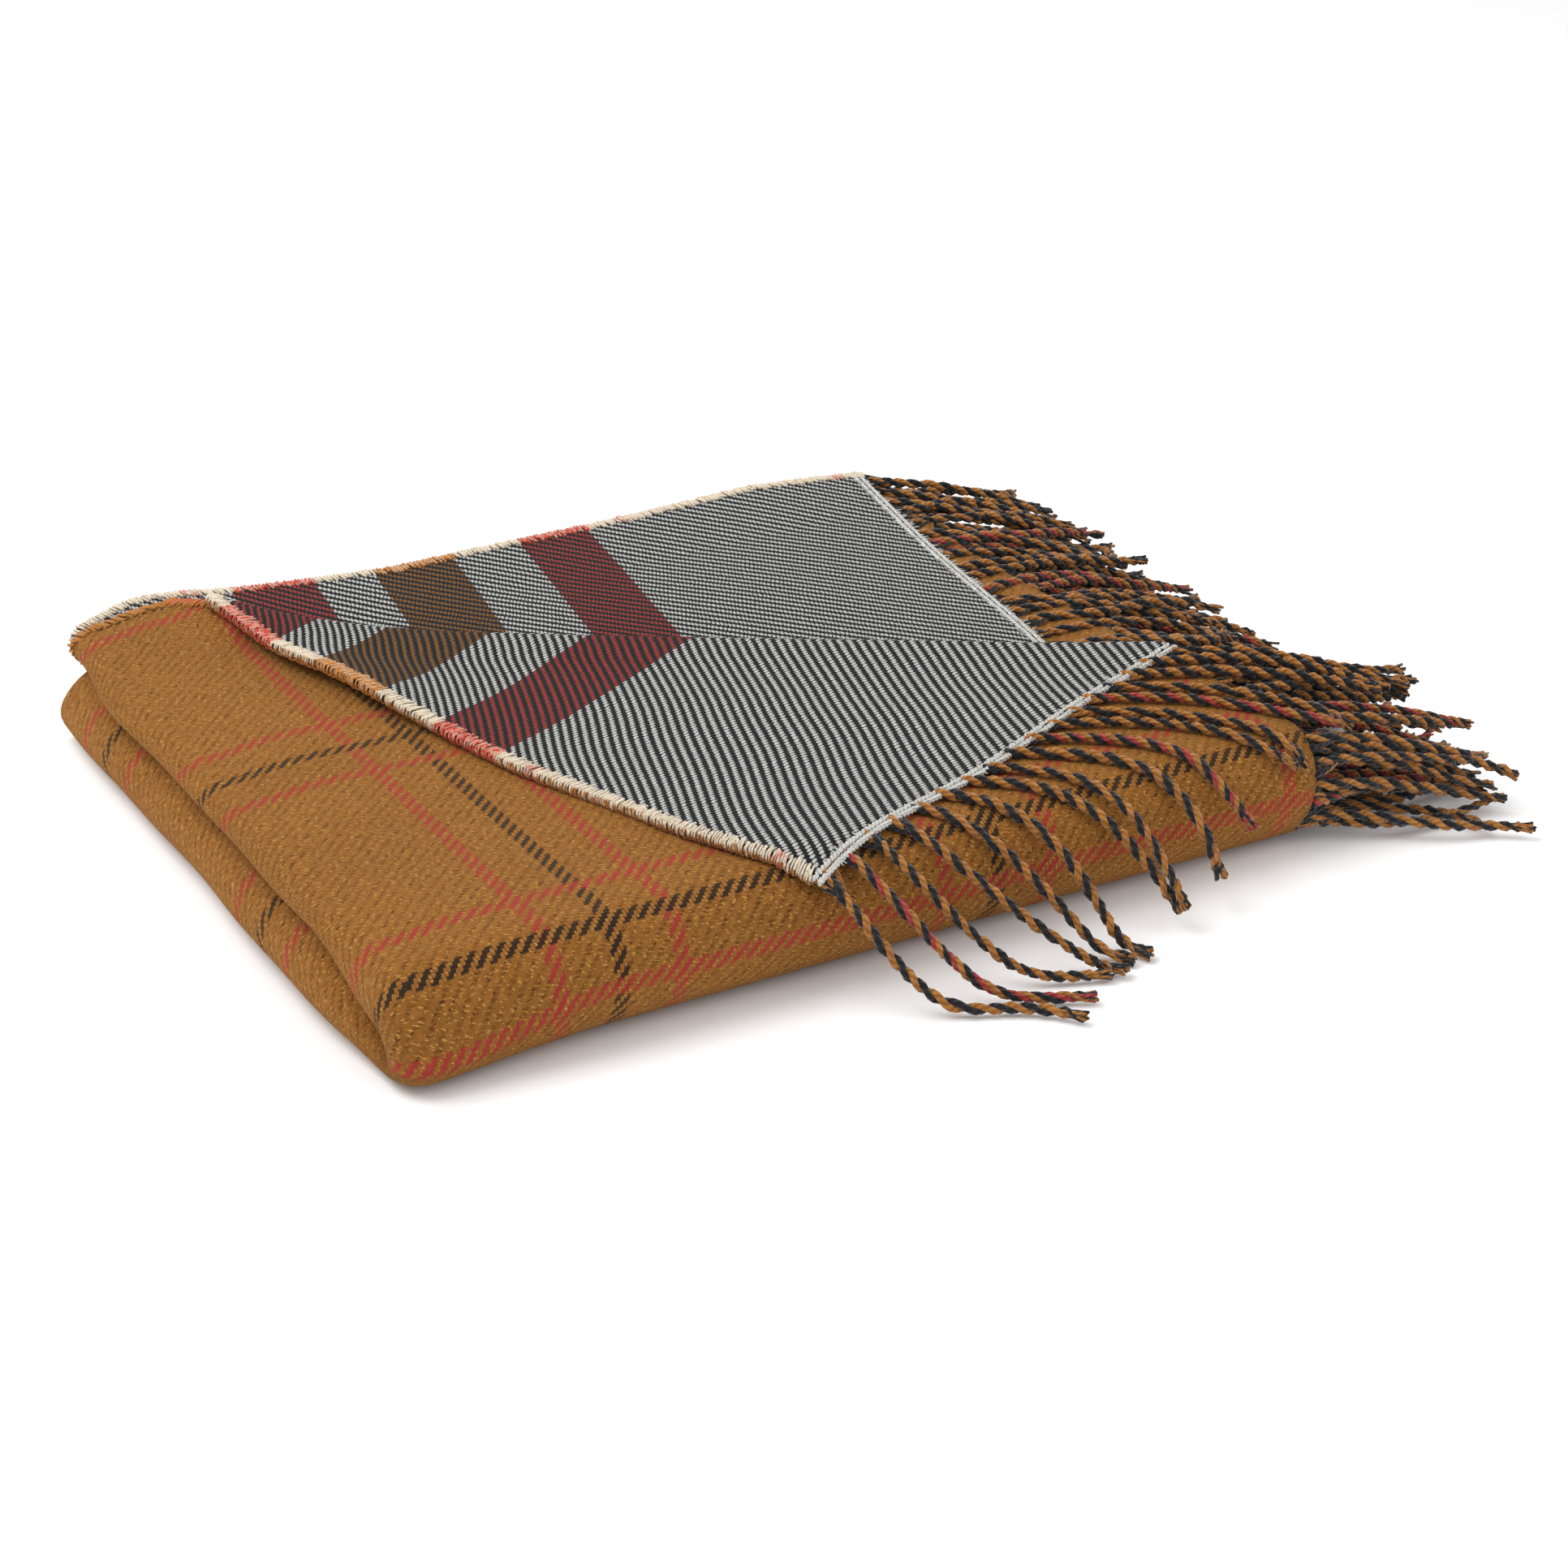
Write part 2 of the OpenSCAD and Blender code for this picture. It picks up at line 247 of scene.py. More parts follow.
class Bundle:
    """Many tubes gathered into one mesh."""

    def __init__(self):
        self.points, self.faces, self.uv, self.slots, self.count = [], [], [], [], 0

    def tube(self, line, radius, side, slot, sides=6, coat=None):
        """A tube round a line of points. side is a direction across it, for its sections.
        coat is the UV of each point of the line, where it isn't the length and the way round."""
        line = np.asarray(line, float)
        first, last = unit(line[0] - line[1]) * END_CAP, unit(line[-1] - line[-2]) * END_CAP
        radius = np.broadcast_to(np.asarray(radius, float), (len(line),))
        radius = np.r_[CLOSED, radius, CLOSED]
        if np.ndim(side) == 2:
            side = np.concatenate([side[:1], side, side[-1:]])
        if coat is not None:
            coat = np.concatenate([coat[:1], coat, coat[-1:]])
        line = np.concatenate([[line[0] + first], line, [line[-1] + last]])
        n = len(line)
        heading = unit(np.gradient(line, axis=0))
        across = unit(side - heading * np.sum(side * heading, axis=1, keepdims=True))
        up = np.cross(heading, across)
        angle = np.linspace(0, 2 * math.pi, sides + 1)
        cos, sin = np.cos(angle)[None, :, None], np.sin(angle)[None, :, None]
        points = line[:, None] + (across[:, None] * cos + up[:, None] * sin) * radius[:, None, None]
        along = run_length(line)
        turn = np.broadcast_to(TURN_UV * angle / (2 * math.pi), (n, sides + 1))
        uv = np.stack([np.broadcast_to(along[:, None], turn.shape), turn], axis=-1)
        if coat is not None:
            uv = np.broadcast_to(coat[:, None], (n, sides + 1, 2))
        faces = grid_faces(n, sides + 1, self.count)
        self.points.append(points.reshape(-1, 3))
        self.uv.append(uv.reshape(-1, 2))
        self.faces.append(faces)
        self.slots.append(np.full(len(faces), slot))
        self.count += n * (sides + 1)

    def build(self, name, materials):
        """All the tubes as one mesh object."""
        parts = (self.points, self.faces, self.uv, self.slots)
        return new_object(name, *(np.concatenate(part) for part in parts), materials)


# ---- Materials ----


def srgb(r, g, b):
    """A colour given as 0 to 255 sRGB, in the linear values that shaders use."""
    parts = [c / 255 for c in (r, g, b)]
    return tuple(c / 12.92 if c <= 0.04045 else ((c + 0.055) / 1.055) ** 2.4 for c in parts) + (1.0,)


OCHRE = srgb(139, 88, 35)
OCHRE_SHADE = srgb(116, 70, 25)
OCHRE_LIGHT = srgb(162, 112, 50)
# The next colour is painted shade for the twill grooves of the ochre face.
OCHRE_GROOVE_SHADE = srgb(84, 48, 15)
# The next colour is painted shade for small gaps in the ochre face's grooves.
OCHRE_PIT_SHADE = srgb(54, 28, 8)
OCHRE_FIBRE = srgb(192, 142, 72)
OCHRE_SHEEN = srgb(225, 175, 110)
LINE_RED = srgb(154, 44, 45)
LINE_BLACK = srgb(26, 24, 23)
WHITE = srgb(192, 193, 189)
WHITE_SHADE = srgb(96, 92, 88)
BLACK = srgb(19, 19, 20)
BLACK_PALER = srgb(58, 56, 57)
BAND_RED = srgb(146, 42, 36)
BAND_BROWN = srgb(122, 78, 26)
CREAM = srgb(216, 202, 180)
SERGED_OCHRE = srgb(172, 112, 48)
SERGED_PINK = srgb(206, 88, 76)
SERGED_RED = srgb(196, 66, 48)
SERGED_BROWN = srgb(184, 118, 44)
SERGED_DARK = srgb(120, 82, 44)

# One yarn of the weave, and the repeats of the check, in millimetres.
YARN = 1.42
LINE_U, REPEAT_U = 149.0, 160.0
LINE_V, REPEAT_V = 164.0, 172.0
RED_OFFSET = 24.0
LINE_HALF = 3.0
BANDS = [(143.0, 178.0, "red"), (212.0, 250.0, "brown"), (277.0, 314.0, "red")]


def set_inputs(node, values):
    """Gives some of a node's inputs their values."""
    for name, value in values.items():
        node.inputs[name].default_value = value


class Wire:
    """A number travelling through a material. Arithmetic on it adds Math nodes."""

    def __init__(self, tree, socket):
        self.tree, self.socket = tree, socket

    def maths(self, operation, *others):
        node = self.tree.nodes.new("ShaderNodeMath")
        node.operation = operation
        for place, value in zip(node.inputs, (self, *others)):
            if isinstance(value, Wire):
                self.tree.links.new(value.socket, place)
            else:
                place.default_value = value
        return Wire(self.tree, node.outputs[0])

    def __add__(self, other):
        return self.maths("ADD", other)

    def __sub__(self, other):
        return self.maths("SUBTRACT", other)

    def __mul__(self, other):
        return self.maths("MULTIPLY", other)

    def __truediv__(self, other):
        return self.maths("DIVIDE", other)

    def floor(self):
        return self.maths("FLOOR")

    def fract(self):
        return self.maths("FRACT")

    def abs(self):
        return self.maths("ABSOLUTE")

    def sine(self):
        return self.maths("SINE")

    def wrap(self, length):
        return self.maths("FLOORED_MODULO", length)

    def larger(self, other):
        return self.maths("MAXIMUM", other)

    def flip(self):
        return (self * -1.0) + 1.0

    def ramp(self, low, high):
        """0 at low and 1 at high, clamped, with an even S between."""
        node = self.tree.nodes.new("ShaderNodeMapRange")
        node.interpolation_type = "SMOOTHSTEP"
        self.tree.links.new(self.socket, node.inputs["Value"])
        set_inputs(node, {"From Min": low, "From Max": high})
        return Wire(self.tree, node.outputs[0])


class Fabric:
    """A fabric material: a Principled shader, the cloth's own coordinates, colour and relief."""

    def __init__(self, name, roughness=0.9, sheen=0.3, sheen_tint=(1, 1, 1, 1)):
        self.material = bpy.data.materials.new(name)
        self.material.use_nodes = True
        self.tree = self.material.node_tree
        self.shader = self.tree.nodes["Principled BSDF"]
        set_inputs(self.shader, {
            "Roughness": roughness, "Specular IOR Level": 0.15,
            "Sheen Weight": sheen, "Sheen Roughness": 0.5, "Sheen Tint": sheen_tint,
        })
        self.map = self.tree.nodes.new("ShaderNodeUVMap")
        self.map.uv_map = "cloth"
        split = self.tree.nodes.new("ShaderNodeSeparateXYZ")
        self.tree.links.new(self.map.outputs[0], split.inputs[0])
        self.u = Wire(self.tree, split.outputs[0]) * PER_METRE
        self.v = Wire(self.tree, split.outputs[1]) * PER_METRE

    def noise(self, size, detail=2.0, stretch=None, offset=0.0, rough=0.5):
        """Noise with features of about this size in millimetres, roughly 0 to 1.
        stretch is (how much longer, angle of the long direction in degrees)."""
        node = self.tree.nodes.new("ShaderNodeTexNoise")
        node.noise_dimensions = "2D"
        set_inputs(node, {"Scale": 1.0, "Detail": detail, "Roughness": rough})
        place = self.tree.nodes.new("ShaderNodeMapping")
        place.vector_type = "TEXTURE"
        longer, angle = stretch or (1.0, 0.0)
        set_inputs(place, {
            "Location": (offset, offset * 0.7, 0),
            "Rotation": (0, 0, math.radians(angle)),
            "Scale": (size * longer * MM, size * MM, 1),
        })
        self.tree.links.new(self.map.outputs[0], place.inputs[0])
        self.tree.links.new(place.outputs[0], node.inputs["Vector"])
        return Wire(self.tree, node.outputs[0])

    def mix(self, factor, first, second):
        """second where factor is 1, first where it is 0. Each is a colour or the result of a mix."""
        node = self.tree.nodes.new("ShaderNodeMix")
        node.data_type = "RGBA"
        if isinstance(factor, Wire):
            self.tree.links.new(factor.socket, node.inputs[0])
        else:
            node.inputs[0].default_value = factor
        for value, place in ((first, node.inputs[6]), (second, node.inputs[7])):
            if isinstance(value, tuple):
                place.default_value = value
            else:
                self.tree.links.new(value, place)
        return node.outputs[2]

    def finish(self, colour, height, relief_mm):
        """Connects the colour, and a height of 0 to 1 that stands for this many millimetres."""
        self.tree.links.new(colour, self.shader.inputs["Base Color"])
        bump = self.tree.nodes.new("ShaderNodeBump")
        set_inputs(bump, {"Strength": 1.0, "Distance": relief_mm * MM})
        self.tree.links.new(height.socket, bump.inputs["Height"])
        self.tree.links.new(bump.outputs[0], self.shader.inputs["Normal"])
        return self.material


def floats(u, v):
    """The 2/2 twill: how far each place is inside a weft float and inside a warp float."""
    a = u / YARN
    b = v / YARN

    def bead(along, across):
        lengthwise = (along - 1.0) / 1.1
        sideways = (across - 0.5) / 0.57
        return ((lengthwise * lengthwise) + (sideways * sideways)).flip()

    weft = bead(((b - a.floor()) + 1.0).wrap(4.0), a.fract())
    warp = bead(((a - b.floor()) - 2.0).wrap(4.0), b.fract())
    return weft, warp


def band_mask(u, kind):
    """1 inside the bands of one colour, measured from the fringed edge."""
    mask = None
    for start, end, colour in BANDS:
        if colour != kind:
            continue
        inside = ((u - (start + end) / 2).abs() - (end - start) / 2).ramp(0.35, -0.35)
        mask = inside if mask is None else mask + inside
    return mask


def ochre_face():
    """The brushed ochre face, with its windowpane check of red, black and red lines."""
    fabric = Fabric("ochre_face", roughness=0.95, sheen=0.22, sheen_tint=OCHRE_SHEEN)
    wobble = (fabric.noise(9.0, 2.0) - 0.5) * 1.6
    fuzz = (fabric.noise(1.1, 2.0, offset=3.0) - 0.5) * 1.5
    u = fabric.u + wobble
    v = fabric.v + wobble
    weft, warp = floats(u + fuzz * 0.35, v + fuzz * 0.35)
    rib = warp.ramp(-0.2, 0.9)
    fleck = fabric.noise(0.8, 2.0, stretch=(2.6, 30.0), offset=1.0)
    pale = fabric.noise(0.7, 1.0, stretch=(3.0, -20.0), offset=5.0)
    broad, cloudy = fabric.noise(55.0, 3.0), fabric.noise(3.2, 3.0)
    grooved, pitted = fabric.noise(6.0, 3.0, offset=11.0), fabric.noise(4.5, 3.0, offset=13.0)
    # groove is painted shade: the ochre is darkened where the warp lies low in the twill grooves.
    groove = rib * (grooved.ramp(0.3, 0.7) * 0.42 + 0.2)
    # The pits are painted shade: dark flecks in small gaps where the warp lies low.
    pit_shade = fleck.ramp(0.48, 0.66) * rib.ramp(0.1, 0.8) * pitted.ramp(0.35, 0.65)
    colour = fabric.mix(broad.ramp(0.3, 0.7) * 0.3, OCHRE, OCHRE_SHADE)
    colour = fabric.mix(cloudy.ramp(0.35, 0.75) * 0.4, colour, OCHRE_LIGHT)
    colour = fabric.mix(groove, colour, OCHRE_GROOVE_SHADE)
    colour = fabric.mix(pit_shade * 0.9, colour, OCHRE_PIT_SHADE)
    colour = fabric.mix(pale.ramp(0.6, 0.75) * 0.85, colour, OCHRE_FIBRE)
    twill = weft.ramp(-0.25, 0.25).flip()
    soft = fuzz * 0.5
    for place, first, repeat in ((fabric.u, LINE_U, REPEAT_U), (fabric.v, LINE_V, REPEAT_V)):
        off = ((place - (first - repeat / 2)).wrap(repeat) - repeat / 2).abs()
        black = (off + soft).ramp(LINE_HALF + 0.5, LINE_HALF - 0.4) * twill
        red = (((off - RED_OFFSET).abs()) + soft).ramp(LINE_HALF + 0.5, LINE_HALF - 0.4) * twill
        colour = fabric.mix(red * 0.85, colour, LINE_RED)
        colour = fabric.mix(black * 0.93, colour, LINE_BLACK)
    nap = fabric.noise(0.9, 3.0, stretch=(2.0, 40.0), offset=7.0, rough=0.65)
    height = (nap * 0.95) + (weft.ramp(-0.3, 1.0) * 0.22)
    return fabric.finish(colour, height, 1.0)


def grey_face():
    """The twill back: black warp with a white weft, and bands where the weft is red or brown."""
    fabric = Fabric("grey_face", roughness=0.95, sheen=0.04)
    wobble = (fabric.noise(14.0, 2.0) - 0.5) * 2.2
    fuzz = (fabric.noise(0.7, 2.0, offset=2.0) - 0.5) * 0.5
    weft, warp = floats(fabric.u + wobble + fuzz, fabric.v + wobble + fuzz)
    shown = (weft + (fabric.noise(1.2, 2.0, offset=4.0) - 0.5) * 1.2).ramp(-0.08, 0.3)
    thread = fabric.mix(band_mask(fabric.u, "red"), WHITE, BAND_RED)
    thread = fabric.mix(band_mask(fabric.u, "brown"), thread, BAND_BROWN)
    shade = fabric.noise(0.6, 2.0, stretch=(2.5, 90.0), offset=6.0).ramp(0.35, 0.65) * 0.28
    thread = fabric.mix(shade, thread, WHITE_SHADE)
    # Paler patches scattered at random over the black yarn.
    paler = fabric.noise(0.8, 2.0, offset=8.0).ramp(0.45, 0.8) * 0.4
    dark = fabric.mix(paler, BLACK, BLACK_PALER)
    colour = fabric.mix(shown, dark, thread)
    height = weft.ramp(-0.1, 1.0) + (warp.ramp(-0.1, 1.0) * 0.6)
    height = height + fabric.noise(0.5, 2.0, offset=9.0) * 0.3
    return fabric.finish(colour, height, 0.75)


def serging():
    """Serging loops. Their UV is the place along the edge, and 0 on the grey face to 10 on the ochre."""
    fabric = Fabric("serging", roughness=0.95, sheen=0.2)
    mottle = (fabric.noise(2.2, 2.0, offset=1.0) - 0.5) * 7.0
    colour = fabric.mix((fabric.v + mottle).ramp(3.6, 5.6), CREAM, SERGED_OCHRE)
    spot = (fabric.u - (LINE_U - REPEAT_U / 2)).wrap(REPEAT_U) - REPEAT_U / 2
    near_line = (spot.abs() - RED_OFFSET).abs().ramp(5.0, 2.0) * fabric.noise(1.7, 1.0).ramp(0.4, 0.6)
    colour = fabric.mix(near_line * 0.6, colour, SERGED_PINK)
    mixed_in = fabric.noise(1.5, 1.0, offset=4.0).ramp(0.62, 0.4)
    colour = fabric.mix(band_mask(fabric.u, "red") * mixed_in.larger(0.55), colour, SERGED_RED)
    colour = fabric.mix(band_mask(fabric.u, "brown") * mixed_in.larger(0.7), colour, SERGED_BROWN)
    fibre = fabric.noise(0.6, 2.0, offset=6.0)
    colour = fabric.mix(fibre.ramp(0.45, 0.75) * 0.35, colour, SERGED_DARK)
    return fabric.finish(colour, fibre, 0.4)


def plain_yarn(name, colour, deep, strands=3.0, twist=0.9):
    """A spun yarn: fine strands winding round it, with loose fibres."""
    fabric = Fabric(name, roughness=0.95, sheen=0.25)
    phase = (fabric.v * (strands / TURN_UV)) + (fabric.u * (twist / 3.0))
    groove = (phase * (2 * math.pi)).sine()
    fibre = fabric.noise(0.5, 2.0, stretch=(3.0, 25.0), offset=3.0)
    shade = (groove.ramp(0.2, -1.0) * 0.55) + (fibre.ramp(0.4, 0.7) * 0.35)
    tone = fabric.mix(fabric.noise(6.0, 2.0).ramp(0.35, 0.65) * 0.3, colour, deep)
    tone = fabric.mix(shade, tone, deep)
    height = (groove.ramp(-1.0, 1.0) * 0.7) + fibre * 0.5
    return fabric.finish(tone, height, 0.45)


# ---- The folded cloth: one sheet with four columns of layers along its length, two strips across ----

FLAT_COLS = 44
ARC_COLS = 12
# Steps of a strip's rows: behind the crease, along it, in front of it, round the front fold, below.
BACK_STEPS, CREASE_STEPS, FRONT_STEPS, ROLL_STEPS, LOWER_STEPS = 7, 31, 12, 18, 43
CUT_ROWS = BACK_STEPS + CREASE_STEPS + 1
EDGE_UPPER = 202.0
CUT_X = CREASE_START[0]


def fold_columns(order):
    """(x, n, share, part) along a strip's length: four flat layers joined by three folds. share is 0
    at the start of a flat layer, 1 at its end and -1 in a fold. part is a whole number on a layer."""
    x, n, share, part = [], [], [], []
    ends = [(1.0, FOLD_X), (FOLD_X, TURN_X), (TURN_X, FOLD_X), (FOLD_X, 0.0)]
    for k, layer in enumerate(order):
        f = np.linspace(0, 1, FLAT_COLS)
        x.append(ends[k][0] + (ends[k][1] - ends[k][0]) * f)
        n.append(f * 0 + layer_n(layer))
        share.append(f)
        part.append(np.full(FLAT_COLS, k))
        if k == 3:
            break
        a = np.linspace(0, math.pi, ARC_COLS + 2)[1:-1]
        centre = (layer_n(layer) + layer_n(order[k + 1])) / 2
        radius = (layer_n(layer) - layer_n(order[k + 1])) / 2
        sign, middle = (1, TURN_X) if k == 1 else (-1, FOLD_X)
        x.append(middle + sign * abs(radius) * np.sin(a))
        n.append(centre + radius * np.cos(a))
        share.append(a * 0 - 1)
        part.append(np.full(ARC_COLS, k + 0.5))
    return tuple(np.concatenate(values) for values in (x, n, share, part))


def right_edge(layer, y, lower):
    """Where a fringed edge lies from left to right. y is a row's place and lower is 0 to 1."""
    base = {1: EDGE_UPPER, 2: 200.0, 3: 200.0, 4: 197.0}[layer]
    return base - 9.0 * lower + 1.2 * np.sin(y / 37 + layer)


def second_layer_slant(y):
    """How far the second layer is pulled to the left at a row of the upper half."""
    return 0.172 * (177 - y) * (1 - smooth((-48 - y) / 70))


def crease_cut(y):
    """The right-hand end of layer 1 at a row of the upper half: the crease, then the fringe."""
    on_crease = CUT_X + (CREASE_START[1] - y) * CREASE_DIR[0] / -CREASE_DIR[1]
    rounded = 22.0 * np.clip((y - CREASE_START[1]) / (BACK - CREASE_START[1]), 0, 1) ** 2
    return np.clip(on_crease, CUT_X, EDGE_UPPER) - rounded


def row_places():
    """(y, turn) of the rows of one strip from the selvedge to the first fold of the cloth.
    turn is the angle round the front fold, from 0 in the upper half to pi in the lower half."""
    end_y = CREASE_START[1] - (EDGE_UPPER - CUT_X) * -CREASE_DIR[1] / CREASE_DIR[0]
    upper = np.concatenate([
        np.linspace(BACK, CREASE_START[1], BACK_STEPS + 1)[:-1],
        np.linspace(CREASE_START[1], end_y, CREASE_STEPS + 1)[:-1],
        np.linspace(end_y, ROLL_Y, FRONT_STEPS + 1)[:-1],
    ])
    turn = np.linspace(0, math.pi, ROLL_STEPS + 1)
    lower = np.linspace(ROLL_Y, LOWER_BACK, LOWER_STEPS + 1)[1:]
    y = np.concatenate([upper, turn * 0 + ROLL_Y, lower])
    angle = np.concatenate([upper * 0, turn, lower * 0 + math.pi])
    return y, angle


def selvedge_y(strip, x, part):
    """How far back the selvedge of each column lies."""
    if strip == 0:
        return 176.5 + 1.5 * np.sin(x / 41) - 2.0 * part
    second = np.interp(x, [-196, -180, -160, -140, -105, -41, 17, 84, 146, 200],
                       [184, 189, 194, 195, 190, 180, 183, 186, 189, 178])
    return np.where(part < 0.9, second, 178.0 + 2.0 * np.sin(x / 33 + part) - part)


ROW_Y, ROW_TURN = row_places()
ROWS = len(ROW_Y)
FRONT_ARC = math.pi * (layer_n(1) + HALF_GAP)
FLAT_LENGTHS = (385.0, 372.6, 372.6, 380.0)
FOLD_LENGTHS = (31.0, 14.0, 5.0, 0.0)
# A turn past this is the whole half turn of the lower half.
LAST_TURN = 3.1
# The second layer's pull to the left fades out over the end of its length.
PULL_FADES, PULL_SPAN = 0.72, 0.28
# The loose front fold takes up some cloth, so the check runs ahead from there on.
AHEAD, AHEAD_FROM, AHEAD_SPAN = 20, 372, 40
# The selvedge of layer 1 curls up behind the crease.
CURL, CURL_X, CURL_Y, CURL_SPAN = 5.5, -152, 120, 22


def along_strip(share, part):
    """Distance from the fringed edge of each column, through four flat layers and three folds."""
    u = 0 * share
    at = 0.0
    for k, (flat, fold) in enumerate(zip(FLAT_LENGTHS, FOLD_LENGTHS)):
        u = np.where(part == k, at + flat * share, u)
        at += flat
        in_fold = part == k + 0.5
        steps = (np.cumsum(in_fold) - 0.5) / ARC_COLS
        u = np.where(in_fold, at + fold * steps, u)
        at += fold
    return u


def strip_grid(strip):
    """Points and UV of one strip of the cloth, rows from its selvedge to the first fold."""
    order = [(1, 8, 5, 4), (2, 7, 6, 3)][strip]
    x, n, share, part = fold_columns(order)
    u = along_strip(share, part)
    y = ROW_Y[:, None] + 0 * x
    turn = ROW_TURN[:, None] + 0 * x
    lower = smooth(turn / math.pi)
    first, last = part == 0, part == 3
    f = np.broadcast_to(share, y.shape).copy()
    x = np.broadcast_to(x, y.shape).copy()
    u = np.broadcast_to(u, y.shape).copy()
    start = right_edge(order[0], y[:, first], lower[:, first])
    if strip == 0:
        cut = np.minimum(crease_cut(y[:, first]), start)
        cut = np.where(turn[:, first] > 0, start, cut)
        f0 = (start - cut) / (start - FOLD_X)
        f[:, first] = f0 + f[:, first] * (1 - f0)
    x[:, first] = start + (FOLD_X - start) * f[:, first]
    if strip == 1:
        pull = second_layer_slant(y[:, first])
        pull = pull * (1 - smooth((f[:, first] - PULL_FADES) / PULL_SPAN))
        x[:, first] -= pull * (turn[:, first] == 0)
    u[:, first] = FLAT_L * f[:, first]
    end = right_edge(order[3], y[:, last], lower[:, last])
    x[:, last] = FOLD_X + (end - FOLD_X) * f[:, last]

    back = selvedge_y(strip, x, part)
    stretch = (back - CREASE_START[1]) / (BACK - CREASE_START[1])
    y = np.where(y > CREASE_START[1], CREASE_START[1] + (y - CREASE_START[1]) * stretch, y)
    y = np.where(turn > LAST_TURN, ROW_Y[:, None], y)
    v = np.where(turn == 0, BACK - ROW_Y[:, None], 0)
    v = np.where(turn > 0, BACK - ROLL_Y + FRONT_ARC * turn / math.pi, v)
    v = v + np.where(turn > LAST_TURN, ROW_Y[:, None] - ROLL_Y, 0)
    v = v + AHEAD * smooth((v - AHEAD_FROM) / AHEAD_SPAN)

    out = n + HALF_GAP
    points = np.stack([x, y - out * np.sin(turn), MID_Z + out * np.cos(turn)], axis=-1)
    if strip == 0:
        curl = CURL * smooth((x - CURL_X) / CURL_SPAN) * smooth((y - CURL_Y) / CURL_SPAN) * (part == 0)
        points[..., 2] += curl
    return points, u, v


def whole_cloth():
    """Points and UV of the whole cloth, from one selvedge to the other."""
    near, near_u, near_v = strip_grid(0)
    far, far_u, far_v = strip_grid(1)
    middle = (near[-1] + far[-1]) / 2
    half = (near[-1] - far[-1]) / 2
    angles = np.linspace(0, math.pi, 9)[1:-1]
    fold = [middle + half * math.cos(a) + np.array([0, 1.45 * math.sin(a), 0]) for a in angles]
    fold_v = [near_v[-1] + 4.5 * a / math.pi for a in angles]
    last_v = fold_v[-1] + 0.6
    points = np.concatenate([near, np.stack(fold), far[::-1]])
    fold_u = np.broadcast_to(near_u[-1], (len(angles), near_u.shape[1]))
    u = np.concatenate([near_u, fold_u, far_u[::-1]])
    v = np.concatenate([near_v, np.stack(fold_v), last_v + (far_v[-1] - far_v)[::-1]])
    return points, np.stack([u, v], axis=-1)


MATERIALS = {
    "ochre": ochre_face(),
    "grey": grey_face(),
    "serging": serging(),
    "black_yarn": plain_yarn("black_yarn", srgb(36, 34, 35), srgb(14, 13, 14)),
    "ochre_yarn": plain_yarn("ochre_yarn", srgb(178, 118, 50), srgb(104, 60, 20)),
    "red_yarn": plain_yarn("red_yarn", srgb(182, 60, 56), srgb(104, 30, 28)),
    "white_yarn": plain_yarn("white_yarn", srgb(236, 236, 230), srgb(178, 175, 168)),
}
CLOTH_MATERIALS = [MATERIALS["ochre"], MATERIALS["grey"], MATERIALS["grey"]]
YARN_MATERIALS = [MATERIALS[name] for name in ("black_yarn", "ochre_yarn", "red_yarn", "white_yarn")]

cloth_points, cloth_uv = whole_cloth()
cloth_points = settle(cloth_points)
cloth = thick_cloth("throw_cloth", cloth_points, cloth_uv)

# ---- The turned-back corner: a triangle of layer 1 between the selvedge, the fringe and the crease ----

FLAP_U, FLAP_V = 324.0, 259.0
CORNER = (-30.0, -172.0)
APEX = (-136.0, 153.0)
SIDE_END = (202.0, -72.0)
FLAP_SELVEDGE = [
    CORNER, (-52, -134), (-69, -87), (-88, -38), (-98, 0),
    (-107, 33), (-117, 70), (-126, 101), (-131, 130), APEX,
]
FLAP_FRINGED = [CORNER, (-14, -163.5), (75, -127), (165, -87), SIDE_END]
FLAP_RIDGE = [APEX, (-70, 95.5), (-15, 58.5), (32, 28.5), (114, -21.5), (153, -46), SIDE_END]
FLAP_Z = TOP + 0.4 + CLOTH_T / 2
SPLIT_Z = FLAP_Z + 0.25
# How far the corner lies from the ridge, the lift of the ridge and of its end at the apex, how far
# the selvedge side stands open and where, and how steeply the corner falls over the front fold.
CORNER_TO_RIDGE = 199.0
RIDGE_LIFT, APEX_LIFT, LIFT_WIDE = 1.3, 4.2, 24
OPEN_LIFT, OPEN_AT, OPEN_LONG, OPEN_WIDE = 4.6, 0.74, 0.24, 26
FRONT_FALL = 0.011


def sag(curve, t):
    """How far a curve stands off the straight line between its ends, at t from 0 to 1."""
    first, last = np.array(curve[0]), np.array(curve[-1])
    return spline(curve, t) - (first + (last - first) * np.asarray(t)[..., None])


